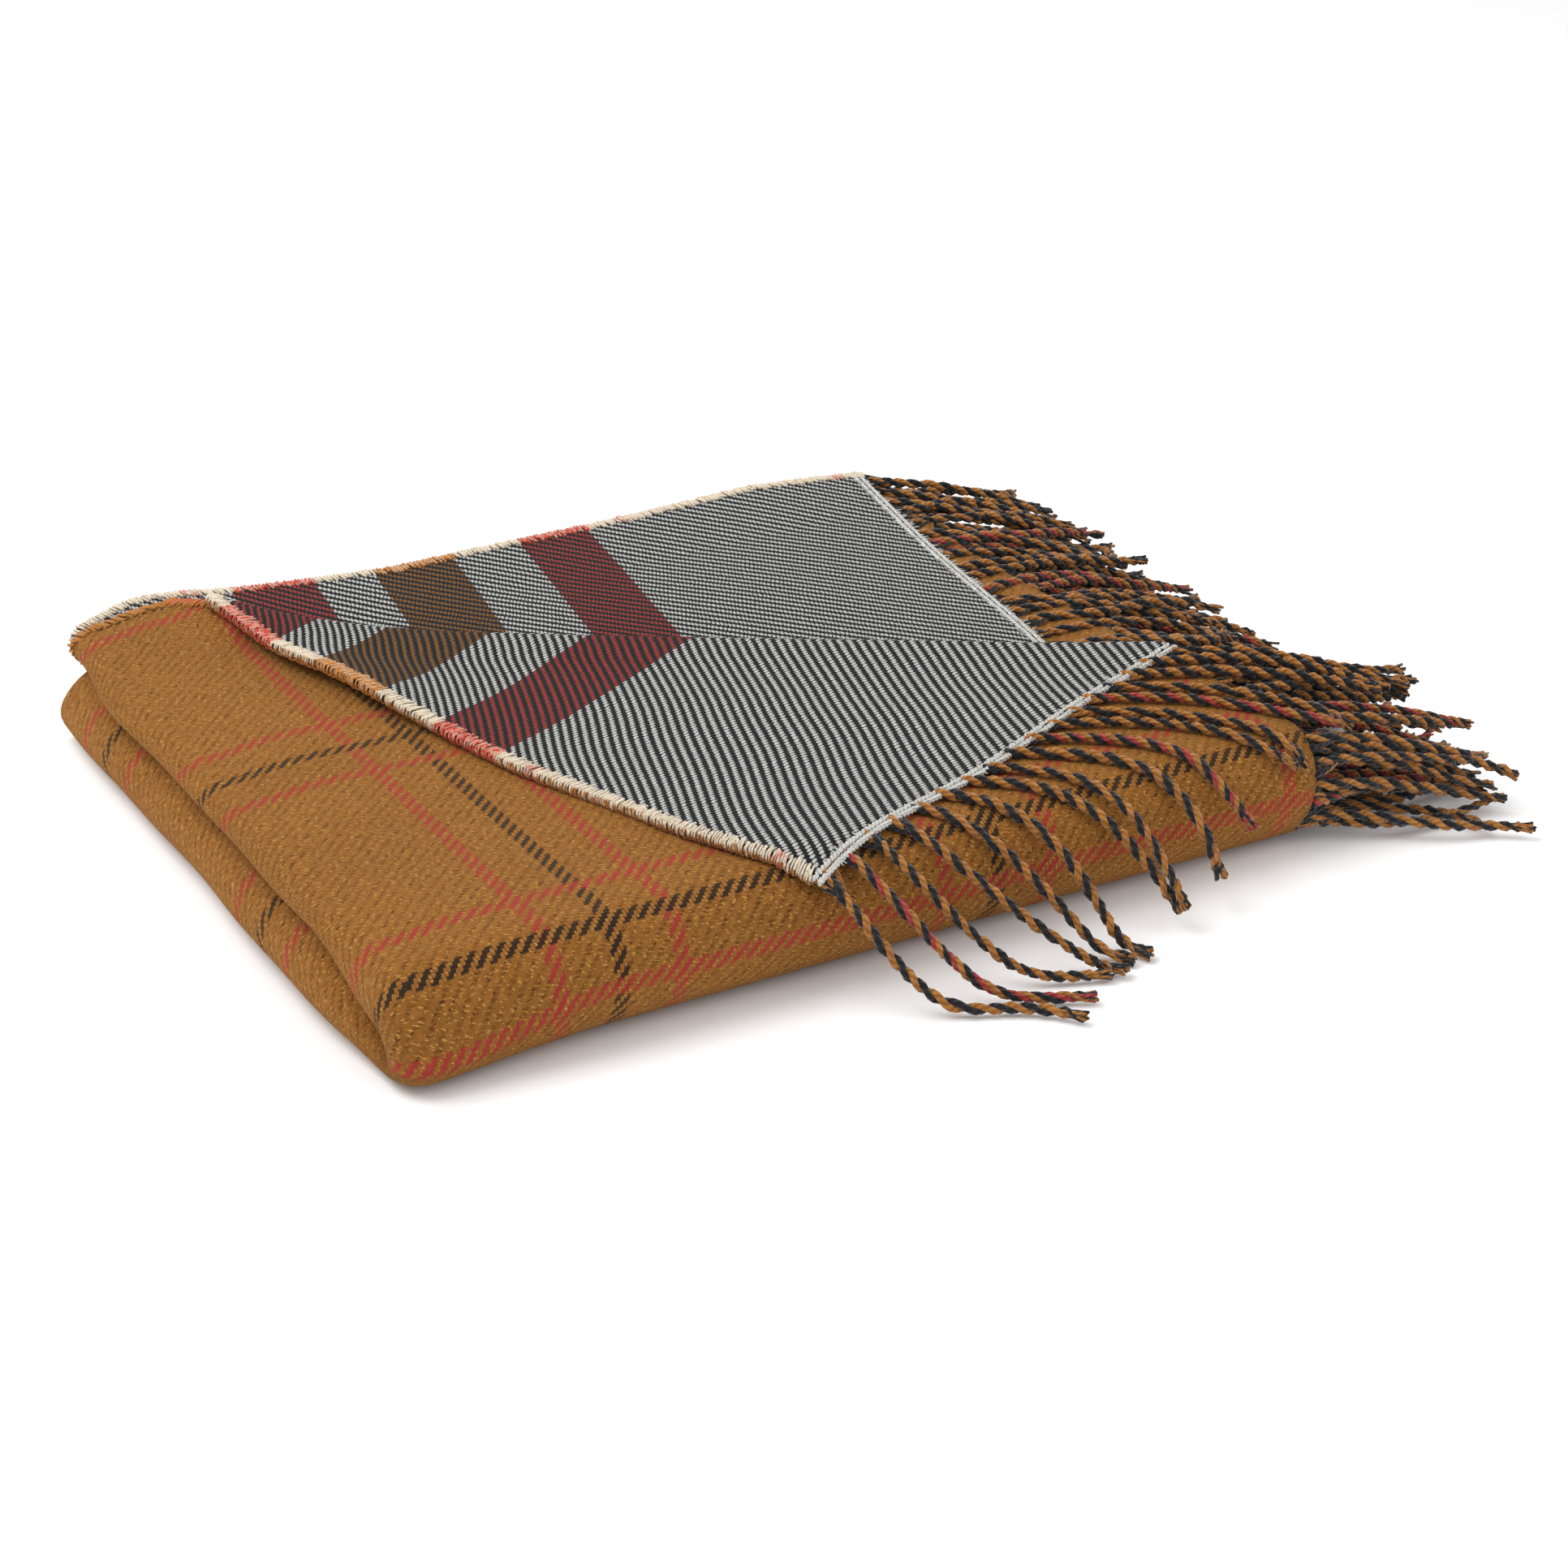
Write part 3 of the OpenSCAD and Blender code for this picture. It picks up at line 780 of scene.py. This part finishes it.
def flap_surface(u, v):
    """Points of the turned-back corner for distances from the fringed edge and the selvedge."""
    to_apex = u / FLAP_U
    to_end = v / FLAP_V
    to_corner = np.clip(1 - to_apex - to_end, 0, 1)
    flat = to_corner[..., None] * CORNER + to_apex[..., None] * APEX + to_end[..., None] * SIDE_END
    small = 1e-6  # keeps the shares finite at the triangle's corners
    on_selvedge = to_apex / (to_corner + to_apex + small)
    on_fringed = to_end / (to_corner + to_end + small)
    on_ridge = to_end / (to_apex + to_end + small)
    flat = flat + sag(FLAP_SELVEDGE, on_selvedge) * ((to_corner + to_apex) ** 2)[..., None]
    flat = flat + sag(FLAP_FRINGED, on_fringed) * ((to_corner + to_end) ** 2)[..., None]
    along_ridge = on_ridge * (0.8 + 0.2 * on_ridge)
    shift = spline(FLAP_RIDGE, along_ridge) - spline([APEX, SIDE_END], on_ridge)
    flat = flat + shift * ((to_apex + to_end) ** 2)[..., None]

    from_ridge = to_corner * CORNER_TO_RIDGE
    ridge_lift = RIDGE_LIFT + APEX_LIFT * np.exp(-((on_ridge / 0.16) ** 2)) + 1.0 * (1 - on_ridge)
    height = FLAP_Z + ridge_lift * np.exp(-((from_ridge / LIFT_WIDE) ** 2))
    open_edge = OPEN_LIFT * np.exp(-(((on_selvedge - OPEN_AT) / OPEN_LONG) ** 2))
    open_edge = open_edge + 0.5 + 0.5 * np.sin(u / 17)
    height = height + open_edge * np.exp(-((v / OPEN_WIDE) ** 2))
    height = height + 0.45 * np.sin(u / 30 + v / 22) * smooth(to_corner * 5)
    past = np.maximum(0, ROLL_Y - flat[..., 1])
    height = height - FRONT_FALL * past ** 2
    return np.concatenate([flat, height[..., None]], axis=-1)


def crease_sections(ridge, angle):
    """Points round the soft roll between layer 1 and the ridge, and where it starts on layer 1.
    angle is 0 at layer 1 and pi at the ridge."""
    edge = cloth_points[:CUT_ROWS, 0]
    along = (edge[:, :2] - CREASE_START) @ CREASE_DIR
    wanted = (ridge[:, :2] - CREASE_START) @ CREASE_DIR
    base = np.stack([np.interp(wanted, along, edge[:, k]) for k in range(3)], axis=-1)
    middle, half = (base + ridge) / 2, (base - ridge) / 2
    swell = 2.6 + 2.2 * np.exp(-np.maximum(wanted, 0) / 60)
    out = np.array([*CREASE_OUT, 0.0])
    c, s = np.cos(angle)[..., None], np.sin(angle)[..., None]
    return middle[:, None] + half[:, None] * c + (swell[:, None, None] * s) * out, base


def opened(points):
    """Where places on the turned-back corner come to lie once it is opened, seen from above."""
    away = from_crease(points[..., 0], points[..., 1])
    return points[..., :2] - 2 * away[..., None] * CREASE_OUT


def ochre_place(points):
    """The UV that layer 1's ochre face has at places seen from above."""
    x, y = points[..., 0], points[..., 1]
    start = right_edge(1, y, 0)
    return np.stack([FLAT_L * (start - x) / (start - FOLD_X), BACK - y], axis=-1)


FLAP_ROWS, FLAP_COLS, ROLL_COLS = 66, 80, 6
flap_v = np.linspace(0, FLAP_V - 2, FLAP_ROWS)
flap_share = np.linspace(0, 1, FLAP_COLS)
grid_v = flap_v[:, None] + 0 * flap_share
grid_u = FLAP_U * (1 - grid_v / FLAP_V) * flap_share
flap_points = settle(flap_surface(grid_u, grid_v))

ridge = flap_points[:, -1]
_, base = crease_sections(ridge, np.zeros((FLAP_ROWS, 1)))
rise = (ridge[:, 2] - base[:, 2]) / 2
centre_z = (ridge[:, 2] + base[:, 2]) / 2
split = np.arccos(np.clip((centre_z - SPLIT_Z) / rise, -0.98, 0.98))
steps = np.linspace(0, 1, ROLL_COLS + 1)
upper_angle = math.pi + (split[:, None] - math.pi) * steps
lower_angle = split[:, None] * (1 - steps)
upper_roll, _ = crease_sections(ridge, upper_angle)
lower_roll, _ = crease_sections(ridge, lower_angle)

flap_grid = np.concatenate([flap_points, upper_roll[:, 1:]], axis=1)
roll_u = grid_u[:, -1:] + 1.2 * np.arange(1, ROLL_COLS + 1)
wide_u = np.concatenate([grid_u, roll_u], axis=1)
wide_v = np.concatenate([grid_v, grid_v[:, :ROLL_COLS]], axis=1)
flap_uv = np.stack([wide_u, wide_v], axis=-1)
flap_ochre_uv = ochre_place(opened(flap_points))
ridge_uv = flap_ochre_uv[:, -1:]
to_base_uv = ochre_place(base)[:, None] - ridge_uv
upper_ochre_uv = ridge_uv + to_base_uv * 0.5 * steps[1:, None]
lower_ochre_uv = ridge_uv + to_base_uv * (0.5 + 0.5 * steps[:, None])
flap_ochre_uv = np.concatenate([flap_ochre_uv, upper_ochre_uv], axis=1)
flap = thick_cloth("turned_back_corner", flap_grid, flap_uv, flap_ochre_uv)
lower_u = roll_u[:, -1:] + 0.8 * np.arange(ROLL_COLS + 1)
lower_uv = np.stack([lower_u, grid_v[:, :ROLL_COLS + 1]], axis=-1)
crease = thick_cloth("crease_of_corner", lower_roll, lower_uv, lower_ochre_uv)


# ---- Serged selvedges ----


def resample(line, step):
    """The length along a line at its own points, and at evenly spaced places."""
    length = run_length(line)
    count = max(2, int(length[-1] / step))
    wanted = (np.arange(count) + 0.5) * length[-1] / count
    return length, wanted


def pick(values, length, wanted):
    """Values given along a line, at the wanted lengths."""
    return np.stack([np.interp(wanted, length, values[:, k]) for k in range(values.shape[1])], axis=-1)


def edge_frame(edge, inner, normal, step):
    """Evenly spaced places along an edge, each with its directions inward, up and along the edge.
    inner are points a little way in, and normal is the ochre side."""
    length, wanted = resample(edge, step)
    inward = unit(pick(unit(inner - edge), length, wanted))
    up = unit(pick(normal, length, wanted))
    return length, wanted, pick(edge, length, wanted), inward, up, np.cross(inward, up)


def serge(bundle, edge, inner, normal, u, spacing=1.15, width=5.2, yarn=0.5):
    """Loops of yarn over an edge."""
    length, wanted, at, inward, up, run = edge_frame(edge, inner, normal, spacing)
    place = np.interp(wanted, length, u)
    reach = np.array([1.0, 0.6, 0.1, 0.0, 0.1, 0.6, 1.0])
    out = np.array([-1.0, -1.25, -1.2, 0.0, 1.2, 1.25, 1.0])
    shape_w = np.linspace(0, TURN_UV, len(reach))
    for k in range(len(at)):
        wide = width * rng.uniform(0.72, 1.18, len(reach))
        lean = rng.normal(1.9, 0.45)
        loose = -rng.uniform(0.2, 1.1)
        thick = CLOTH_T / 2 + rng.uniform(0.0, 0.45)
        along = lean * reach * np.sign(-out) + rng.normal(0, 0.12, len(reach))
        line = at[k] + (wide * reach + loose * (reach < 0.3))[:, None] * inward[k]
        line = line + (thick * out)[:, None] * up[k] + along[:, None] * run[k]
        coat = np.stack([np.full(len(reach), place[k]), shape_w], axis=-1)
        bundle.tube(line, yarn * rng.uniform(0.85, 1.2), run[k], 0, sides=5, coat=coat)


def stitches(bundle, edge, inner, normal, slot, pitch=3.4, inset=6.0):
    """A line of short stitches on the ochre side, just inside the serging."""
    _, _, at, inward, up, run = edge_frame(edge, inner, normal, pitch)
    for k in range(len(at)):
        middle = at[k] + inward[k] * inset + up[k] * (CLOTH_T / 2 + 0.1)
        bundle.tube([middle - run[k] * 1.1, middle, middle + run[k] * 1.1], 0.32, up[k], slot, sides=5)


# The rows of layer 1's rounded corner, behind the crease, that are serged, and their place along the edge.
ROUNDED = slice(0, 5)
ROUNDED_U = 330.0


def pack_serging():
    """Serging of both selvedges and layer 1's rounded corner, and stitches on the top layer."""
    bundle = Bundle()
    for row, next_row in ((0, 1), (-1, -2)):
        inner = cloth_points[next_row]
        serge(bundle, cloth_points[row], inner, normals[row], cloth_uv[row, :, 0], 1.6, yarn=0.62)
    edge, inner = cloth_points[ROUNDED, 0], cloth_points[ROUNDED, 1]
    serge(bundle, edge, inner, normals[ROUNDED, 0], np.full(len(edge), ROUNDED_U))
    top = slice(0, FLAT_COLS)
    stitches(bundle, cloth_points[0, top], cloth_points[1, top], normals[0, top], 1)
    return bundle.build("selvedge_serging", [MATERIALS["serging"], MATERIALS["black_yarn"]])


def edge_serging(name, grid, grid_normal, u):
    """Serging along the first row of a grid of points."""
    bundle = Bundle()
    serge(bundle, grid[0], grid[1], grid_normal[0], u)
    return bundle.build(name, [MATERIALS["serging"]])


normals = grid_normals(cloth_points)
flap_normals = grid_normals(flap_grid)
roll_normals = grid_normals(lower_roll)
pack_selvedge = pack_serging()
flap_selvedge = edge_serging("corner_selvedge_serging", flap_grid, flap_normals, flap_uv[0, :, 0])
crease_selvedge = edge_serging("crease_selvedge_serging", lower_roll, roll_normals, lower_uv[0, :, 0])


# ---- Header lines and twisted tassels ----

BLACK_SLOT, OCHRE_SLOT, RED_SLOT, WHITE_SLOT = range(4)

# The header's two cords: half their distance, the length of a turn, the radius of the twist and of
# a yarn, and the height of their middle over the cloth. Then the radius of its loose weft ends.
CORD_HALF, CORD_TURN, CORD_TWIST, CORD_YARN, CORD_LIFT = 1.4, 4.4, 0.62, 0.8, 0.65
TUFT_YARN = 0.32


def header(bundle, edge, normal, inset, tufts=0, step=1.1):
    """The white line twined along a fringed edge: two cords side by side, and loose weft ends.
    normal is the side it stands on and inset is how far in from the edge its middle lies."""
    length, wanted = resample(edge, step)
    at = pick(edge, length, wanted)
    side = unit(pick(normal, length, wanted))
    heading = unit(np.gradient(at, axis=0))
    across = np.cross(heading, side)
    for offset, hand in ((-CORD_HALF, 1), (CORD_HALF, -1)):
        for phase in (0.0, math.pi):
            turn = hand * 2 * math.pi * wanted / CORD_TURN + phase
            middle = at + across * (offset + inset) + side * CORD_LIFT
            line = middle + CORD_TWIST * (across * np.cos(turn)[:, None] + side * np.sin(turn)[:, None])
            bundle.tube(line, CORD_YARN, side, WHITE_SLOT, sides=5)
    for k in rng.integers(0, len(at), int(tufts * length[-1])):
        way = across[k] * rng.choice([-1.0, 1.0])
        way = way + heading[k] * rng.normal(0, 0.5)
        way = unit(way + side[k] * rng.uniform(0, 0.5))
        begin = at[k] + across[k] * inset + side[k] * 1.0
        tuft = [begin, begin + way * 1.6, begin + way * rng.uniform(2.6, 4.6) - side[k] * 0.3]
        bundle.tube(tuft, TUFT_YARN, side[k], WHITE_SLOT, sides=4)


def soft_floor(z, low, width=3.5):
    """z, eased so that it never goes below low."""
    over = (z - low) / width
    return z if over > 20 else low + width * math.log1p(math.exp(over))


# A tassel falls at most, and climbs at most, by these parts of each step of its length.
STEEPEST, CLIMB = 0.93, 0.3


def route(root, headings, fall, rest_z, length=TASSEL_L, lift=0.0, steps=44):
    """The middle of a tassel: it leaves its root, turns through the headings and falls by fall(place)."""
    points = [np.array(root, float)]
    step = length / (steps - 1)
    turning = np.interp(np.arange(steps) / (steps - 1), np.linspace(0, 1, len(headings)), headings)
    for k in range(1, steps):
        way = np.array([math.cos(turning[k]), math.sin(turning[k])])
        here = points[-1]
        ahead = here[:2] + way * step
        wanted = here[2] - soft_floor(fall(ahead), rest_z)
        drop = min(max(wanted, -CLIMB * step), STEEPEST * step)
        level = math.sqrt(step * step - drop * drop)
        points.append(np.array([*(here[:2] + way * level), here[2] - drop]))
    points = np.array(points)
    points[:, 2] += lift * smooth((np.arange(steps) / steps - 0.7) / 0.3) ** 2
    return points


# (material slot, radius) of the plies of a tassel, without and with red.
TWO_PLIES = [(BLACK_SLOT, 1.3), (OCHRE_SLOT, 1.3)]
THREE_PLIES = [(BLACK_SLOT, 1.2), (OCHRE_SLOT, 1.15), (RED_SLOT, 0.9)]
# The length of a step of a ply, and half the width of the edge that the root yarns gather from.
TASSEL_STEP = 2.1
ROOT_HALF = 6.2


def tassel(bundle, line, red, size, sides, strands, roots, edge_dir):
    """A tassel of twisted plies along a line, with a brush of loose ends (strands) at its tip.
    roots are the thin yarns that gather from the edge, whose direction is edge_dir, into the tassel."""
    length = run_length(line)
    fine = np.linspace(0, length[-1], int(length[-1] / TASSEL_STEP))
    at = pick(line, length, fine)
    heading = unit(np.gradient(at, axis=0))
    side = unit(np.stack([-heading[:, 1], heading[:, 0], 0 * fine], axis=-1) + 1e-6)
    up = np.cross(heading, side)
    plies = THREE_PLIES if red else TWO_PLIES
    pitch = rng.uniform(10.5, 14.5)
    start = rng.uniform(0, 2 * math.pi)
    near_tip = smooth((fine - (length[-1] - 13)) / 10)
    near_root = 1 - smooth(fine / 9)
    wander = 0.9 * np.sin(fine / rng.uniform(9, 16) + start) + 0.5 * np.sin(fine / 5.5 + 2 * start)
    for k, (slot, radius) in enumerate(plies):
        turn = start + 2 * math.pi * (fine / pitch + k / len(plies)) + wander
        wide = size * (1.12 + 0.35 * near_tip - 0.3 * near_root) * (1 + 0.14 * np.sin(fine / 5 + k))
        line_k = at + wide[:, None] * (side * np.cos(turn)[:, None] + up * np.sin(turn)[:, None])
        thick = size * radius * (1 - 0.35 * near_tip) * (1 + 0.1 * np.sin(fine / 3.3 + 2 * k + start))
        bundle.tube(line_k, thick, side, slot, sides=sides)
    for k in range(strands):
        slot = plies[k % len(plies)][0]
        back = int(rng.integers(5, 8))
        angle = rng.uniform(0, 2 * math.pi)
        spread = rng.uniform(0.5, 2.2) * size * (side[-1] * math.cos(angle) + up[-1] * math.sin(angle) * 0.8)
        s = np.linspace(0, 1, back + 1)[:, None]
        tip = np.concatenate([at[-back:], [at[-1] + heading[-1] * rng.uniform(1.0, 2.8)]])
        tip = tip + spread * (0.45 + 0.9 * s * s)
        bundle.tube(tip, rng.uniform(0.55, 0.8) * size, side[-1], slot, sides=4)
    for k in range(roots):
        slot = BLACK_SLOT if rng.random() < 0.85 else OCHRE_SLOT
        offset = rng.uniform(-ROOT_HALF, ROOT_HALF)
        begin = at[0] + edge_dir * offset - heading[0] * 1.0 + up[0] * rng.uniform(-0.6, 1.0)
        ahead = at[int(rng.integers(4, 8))]
        s = np.linspace(0, 1, 6)[:, None]
        bend = edge_dir * offset * 0.25 * np.sin(math.pi * s)
        bundle.tube(begin + (ahead - begin) * s + bend, rng.uniform(0.6, 0.95), up[0], slot, sides=5)


def is_red(v):
    """True where a red line of the check meets the fringe."""
    off = abs((v - (LINE_V - REPEAT_V / 2)) % REPEAT_V - REPEAT_V / 2)
    return abs(off - RED_OFFSET) < 7.5


def wandering(mean, spread, curl):
    """Headings of a tassel that sways a little and turns aside at its tip."""
    first = rng.normal(mean, spread)
    sway = rng.normal(0, spread, 3)
    return [first, first + sway[0], first + sway[1], first + sway[2], first + sway[2] + rng.normal(0, curl)]


def edge_tassels(bundle, edge, v, layer, keep, fall_from, rest_z, roots, sides):
    """Tassels along a fringed edge of the pack, where keep says so. They fall as fall_from says and
    come to rest no lower than rest_z."""
    length, wanted = resample(edge, TASSEL_PITCH)
    wanted = wanted + rng.normal(0, 1.0, len(wanted)) + (layer % 2) * 3
    at = pick(edge, length, wanted)
    cloth_v = np.interp(wanted, length, v)
    tangent = unit(pick(np.gradient(edge, axis=0), length, wanted))
    for k, root in enumerate(at):
        if not keep(root):
            continue
        back_share = smooth((root[1] - 110) / 60)
        headings = wandering(-0.05 - 0.14 * back_share, 0.17, 0.55)
        long = TASSEL_L * rng.uniform(0.86, 0.99)
        lift = max(0.0, rng.normal(0, 2.5))
        begin = root + np.array([0.5, 0, 0])
        line = route(begin, headings, fall_from(root), rest_z + rng.uniform(0, 2), long, lift)
        strands = 9 if sides > 5 else 6
        tassel(bundle, line, is_red(cloth_v[k]), rng.uniform(0.86, 1.08), sides, strands, roots, tangent[k])


def falling(rate, start_x):
    """A fall that begins past the edge of the layers below. rate is how steep it is."""
    def fall_from(root):
        own = rate * rng.uniform(0.75, 1.3)

        def height(place):
            past = max(0.0, place[0] - start_x)
            return root[2] - own * past * (past + 28)

        return height
    return fall_from


# A tassel on the floor rests with its middle this high.
FLOOR_REST = 2.9
FRINGE_WORDS = ["upper", "lower", "front"]
NEAR_STRIP, FAR_STRIP = slice(0, ROWS), slice(len(cloth_points) - ROWS, len(cloth_points))
# (layer, rows of the cloth, column) of the four fringed edges.
STRIP_EDGES = [(1, NEAR_STRIP, 0), (4, NEAR_STRIP, -1), (2, FAR_STRIP, 0), (3, FAR_STRIP, -1)]


def in_front(place):
    """True on the front fold."""
    return place[1] <= ROLL_Y + 1


def in_upper(place):
    """True in the pack's upper half, behind the front fold."""
    return place[2] > MID_Z and not in_front(place)


def in_lower(place):
    """True in the pack's lower half, behind the front fold."""
    return place[2] <= MID_Z and not in_front(place)


def pack_fringes():
    """The header line, and the upper, lower and front tassels, of the pack's fringed edges."""
    headers = Bundle()
    upper, lower, front = Bundle(), Bundle(), Bundle()
    for layer, rows, column in STRIP_EDGES:
        edge = cloth_points[rows, column]
        if layer == 1:
            edge = edge[CUT_ROWS:]
        side = normals[rows, column][-len(edge):]
        v = cloth_uv[rows, column, 1][-len(edge):]
        inset = -2.0 if column == 0 else 2.0
        header(headers, edge, -side, inset, 1.1 if layer == 2 else 0.0)
        roots = 5 if layer <= 2 else 2
        sides = 6 if layer < 4 else 5
        upper_fall = falling(0.0015 + 0.0002 * layer, 200 - 14 * (layer > 1))
        edge_tassels(upper, edge, v, layer, in_upper, upper_fall, 20.0 - 4 * layer, roots, sides)
        edge_tassels(front, edge, v, layer, in_front, falling(0.002, 196), FLOOR_REST, roots, 6)
        edge_tassels(lower, edge, v, layer, in_lower, falling(0.003, 188), FLOOR_REST + 1.2 * layer, 0, 5)
    line = headers.build("fringe_header", YARN_MATERIALS)
    bundles = zip(FRINGE_WORDS, (upper, lower, front))
    return line, [bundle.build(word + "_tassels", YARN_MATERIALS) for word, bundle in bundles]


def top_height(place):
    """Height of the pack's top at a place, level in front of the start of the front fold."""
    return settle(np.array([place[0], max(place[1], ROLL_Y), TOP]))[2]


def over_front(rate):
    """The fall of a tassel that lies on the top, then hangs over the front fold or the right-hand edge."""
    def height(place):
        over = max(0.0, ROLL_Y + 2 - place[1])
        beyond = max(0.0, place[0] - EDGE_UPPER)
        return top_height(place) + 2.3 - rate * over ** 2 - 0.0024 * beyond ** 2
    return height


# Headings in degrees, at the root and the tip, of the tassels from the corner to the right-hand end.
ALONG_FRINGE = [0.0, 0.12, 0.3, 0.45, 0.6, 0.8, 1.0]
ROOT_HEADING = [-80, -76, -56, -38, -30, -24, -18]
TIP_HEADING = [-28, -30, -50, -78, -66, -46, -30]

fringed = flap_grid[:, 0]


def corner_header():
    """The header line of the turned-back corner."""
    bundle = Bundle()
    header(bundle, fringed, -flap_normals[:, 0], 1.6, 0.35)
    return bundle.build("corner_header", YARN_MATERIALS)


def corner_tassels():
    """The tassels of the turned-back corner, which spread over the top and hang over the front."""
    bundle = Bundle()
    length, wanted = resample(fringed, TASSEL_PITCH)
    roots_at = pick(fringed, length, wanted)
    edge_dir = unit(pick(np.gradient(fringed, axis=0), length, wanted))
    for k, root in enumerate(roots_at):
        share = k / (len(roots_at) - 1)
        first = math.radians(np.interp(share, ALONG_FRINGE, ROOT_HEADING) + rng.normal(0, 4))
        last = math.radians(np.interp(share, ALONG_FRINGE, TIP_HEADING) + rng.normal(0, 7))
        turned = last - first
        headings = [first, first + 0.2 * turned, first + 0.6 * turned, last, last + rng.normal(0, 0.25)]
        long = 115 - 12 * smooth(share * 3) + rng.normal(0, 2)
        fall = over_front(0.013 * rng.uniform(0.8, 1.2))
        line = route(root + np.array([0, 0, -0.3]), headings, fall, FLOOR_REST, long)
        tassel(bundle, line, is_red(wanted[k]), rng.uniform(0.95, 1.15), 8, 16, 11, edge_dir[k])
    return bundle.build("corner_tassels", YARN_MATERIALS)


pack_header, fringe_pieces = pack_fringes()
flap_header = corner_header()
flap_fringe = corner_tassels()


# ---- Bodies, CAD nodes and stage ----

pack_pieces = [pack_selvedge, pack_header, *fringe_pieces]
corner_pieces = [flap, flap_selvedge, flap_header, flap_fringe]
crease_pieces = [crease, crease_selvedge]

for piece in (cloth, *pack_pieces):
    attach(piece, "pack")
for piece in corner_pieces:
    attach(piece, "corner_flap")
for piece in crease_pieces:
    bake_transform(piece)
KEEP_CLOTH, KEEP_SERGING, KEEP_HEADER, KEEP_TASSELS = 0.18, 0.15, 0.15, 0.1
for piece, keep in zip(corner_pieces, (KEEP_CLOTH, KEEP_SERGING, KEEP_HEADER, KEEP_TASSELS)):
    SPLIT_Z * MM
    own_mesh(piece)

corner_nodes = {"corner_flap": flap, "crease_roll": crease, "flap_fringe": flap_fringe}
fringe_nodes = [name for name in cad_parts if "fringe" in name and name not in corner_nodes]
selvedge_nodes = [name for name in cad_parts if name.startswith("selvedge")]
special = [*corner_nodes, *fringe_nodes, *selvedge_nodes]
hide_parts(*sorted(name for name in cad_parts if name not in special))
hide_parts(*selvedge_nodes)
for piece, word in zip(fringe_pieces, FRINGE_WORDS):
    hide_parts(*[name for name in fringe_nodes if name.startswith(word)])
for name, piece in corner_nodes.items():
    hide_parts(name)


FLOOR_SIZE, FLOOR_Z, FLOOR_WHITE = 12, -0.0005, 0.95
WORLD_LIGHT = 0.86
# (name, place, size, power) of the lights, in metres and watts.
LAMPS = (("key", (-0.9, 0.5, 1.6), 1.4, 23.0), ("fill", (0.8, -1.2, 1.0), 1.2, 5.0))
CAMERA_PLACE = (-0.5537, -1.0677, 0.5887)
CAMERA_AIM = (0.0466, -0.0187, 0.0)
CAMERA_LENS, CAMERA_SENSOR = 74.534, 36


def stage():
    """A pale floor, soft light from above and the camera at the product view's angle."""
    bpy.ops.mesh.primitive_plane_add(size=FLOOR_SIZE, location=(0, 0, FLOOR_Z))
    floor = bpy.context.object
    floor.name = "floor"
    paint = bpy.data.materials.new("floor")
    paint.use_nodes = True
    shader = paint.node_tree.nodes["Principled BSDF"]
    set_inputs(shader, {"Base Color": (FLOOR_WHITE, FLOOR_WHITE, FLOOR_WHITE, 1), "Roughness": 0.9})
    floor.data.materials.append(paint)
    world = bpy.data.worlds.new("studio")
    world.use_nodes = True
    set_inputs(world.node_tree.nodes["Background"], {"Color": (1, 1, 1, 1), "Strength": WORLD_LIGHT})
    bpy.context.scene.world = world
    for name, place, size, power in LAMPS:
        light = bpy.data.lights.new(name, "AREA")
        light.size = size
        light.energy = power
        lamp = bpy.data.objects.new(name, light)
        lamp.location = place
        lamp.rotation_euler = (Vector((0, 0, 0)) - Vector(place)).to_track_quat("-Z", "Y").to_euler()
        bpy.context.scene.collection.objects.link(lamp)
    camera_data = bpy.data.cameras.new("camera")
    camera_data.lens = CAMERA_LENS
    camera_data.sensor_width = CAMERA_SENSOR
    camera = bpy.data.objects.new("camera", camera_data)
    camera.location = CAMERA_PLACE
    aim = Vector(CAMERA_AIM) - Vector(CAMERA_PLACE)
    camera.rotation_euler = aim.to_track_quat("-Z", "Y").to_euler()
    bpy.context.scene.collection.objects.link(camera)
    bpy.context.scene.camera = camera
    bpy.context.scene.view_settings.view_transform = "Standard"


stage()
bpy.context.view_layer.update()
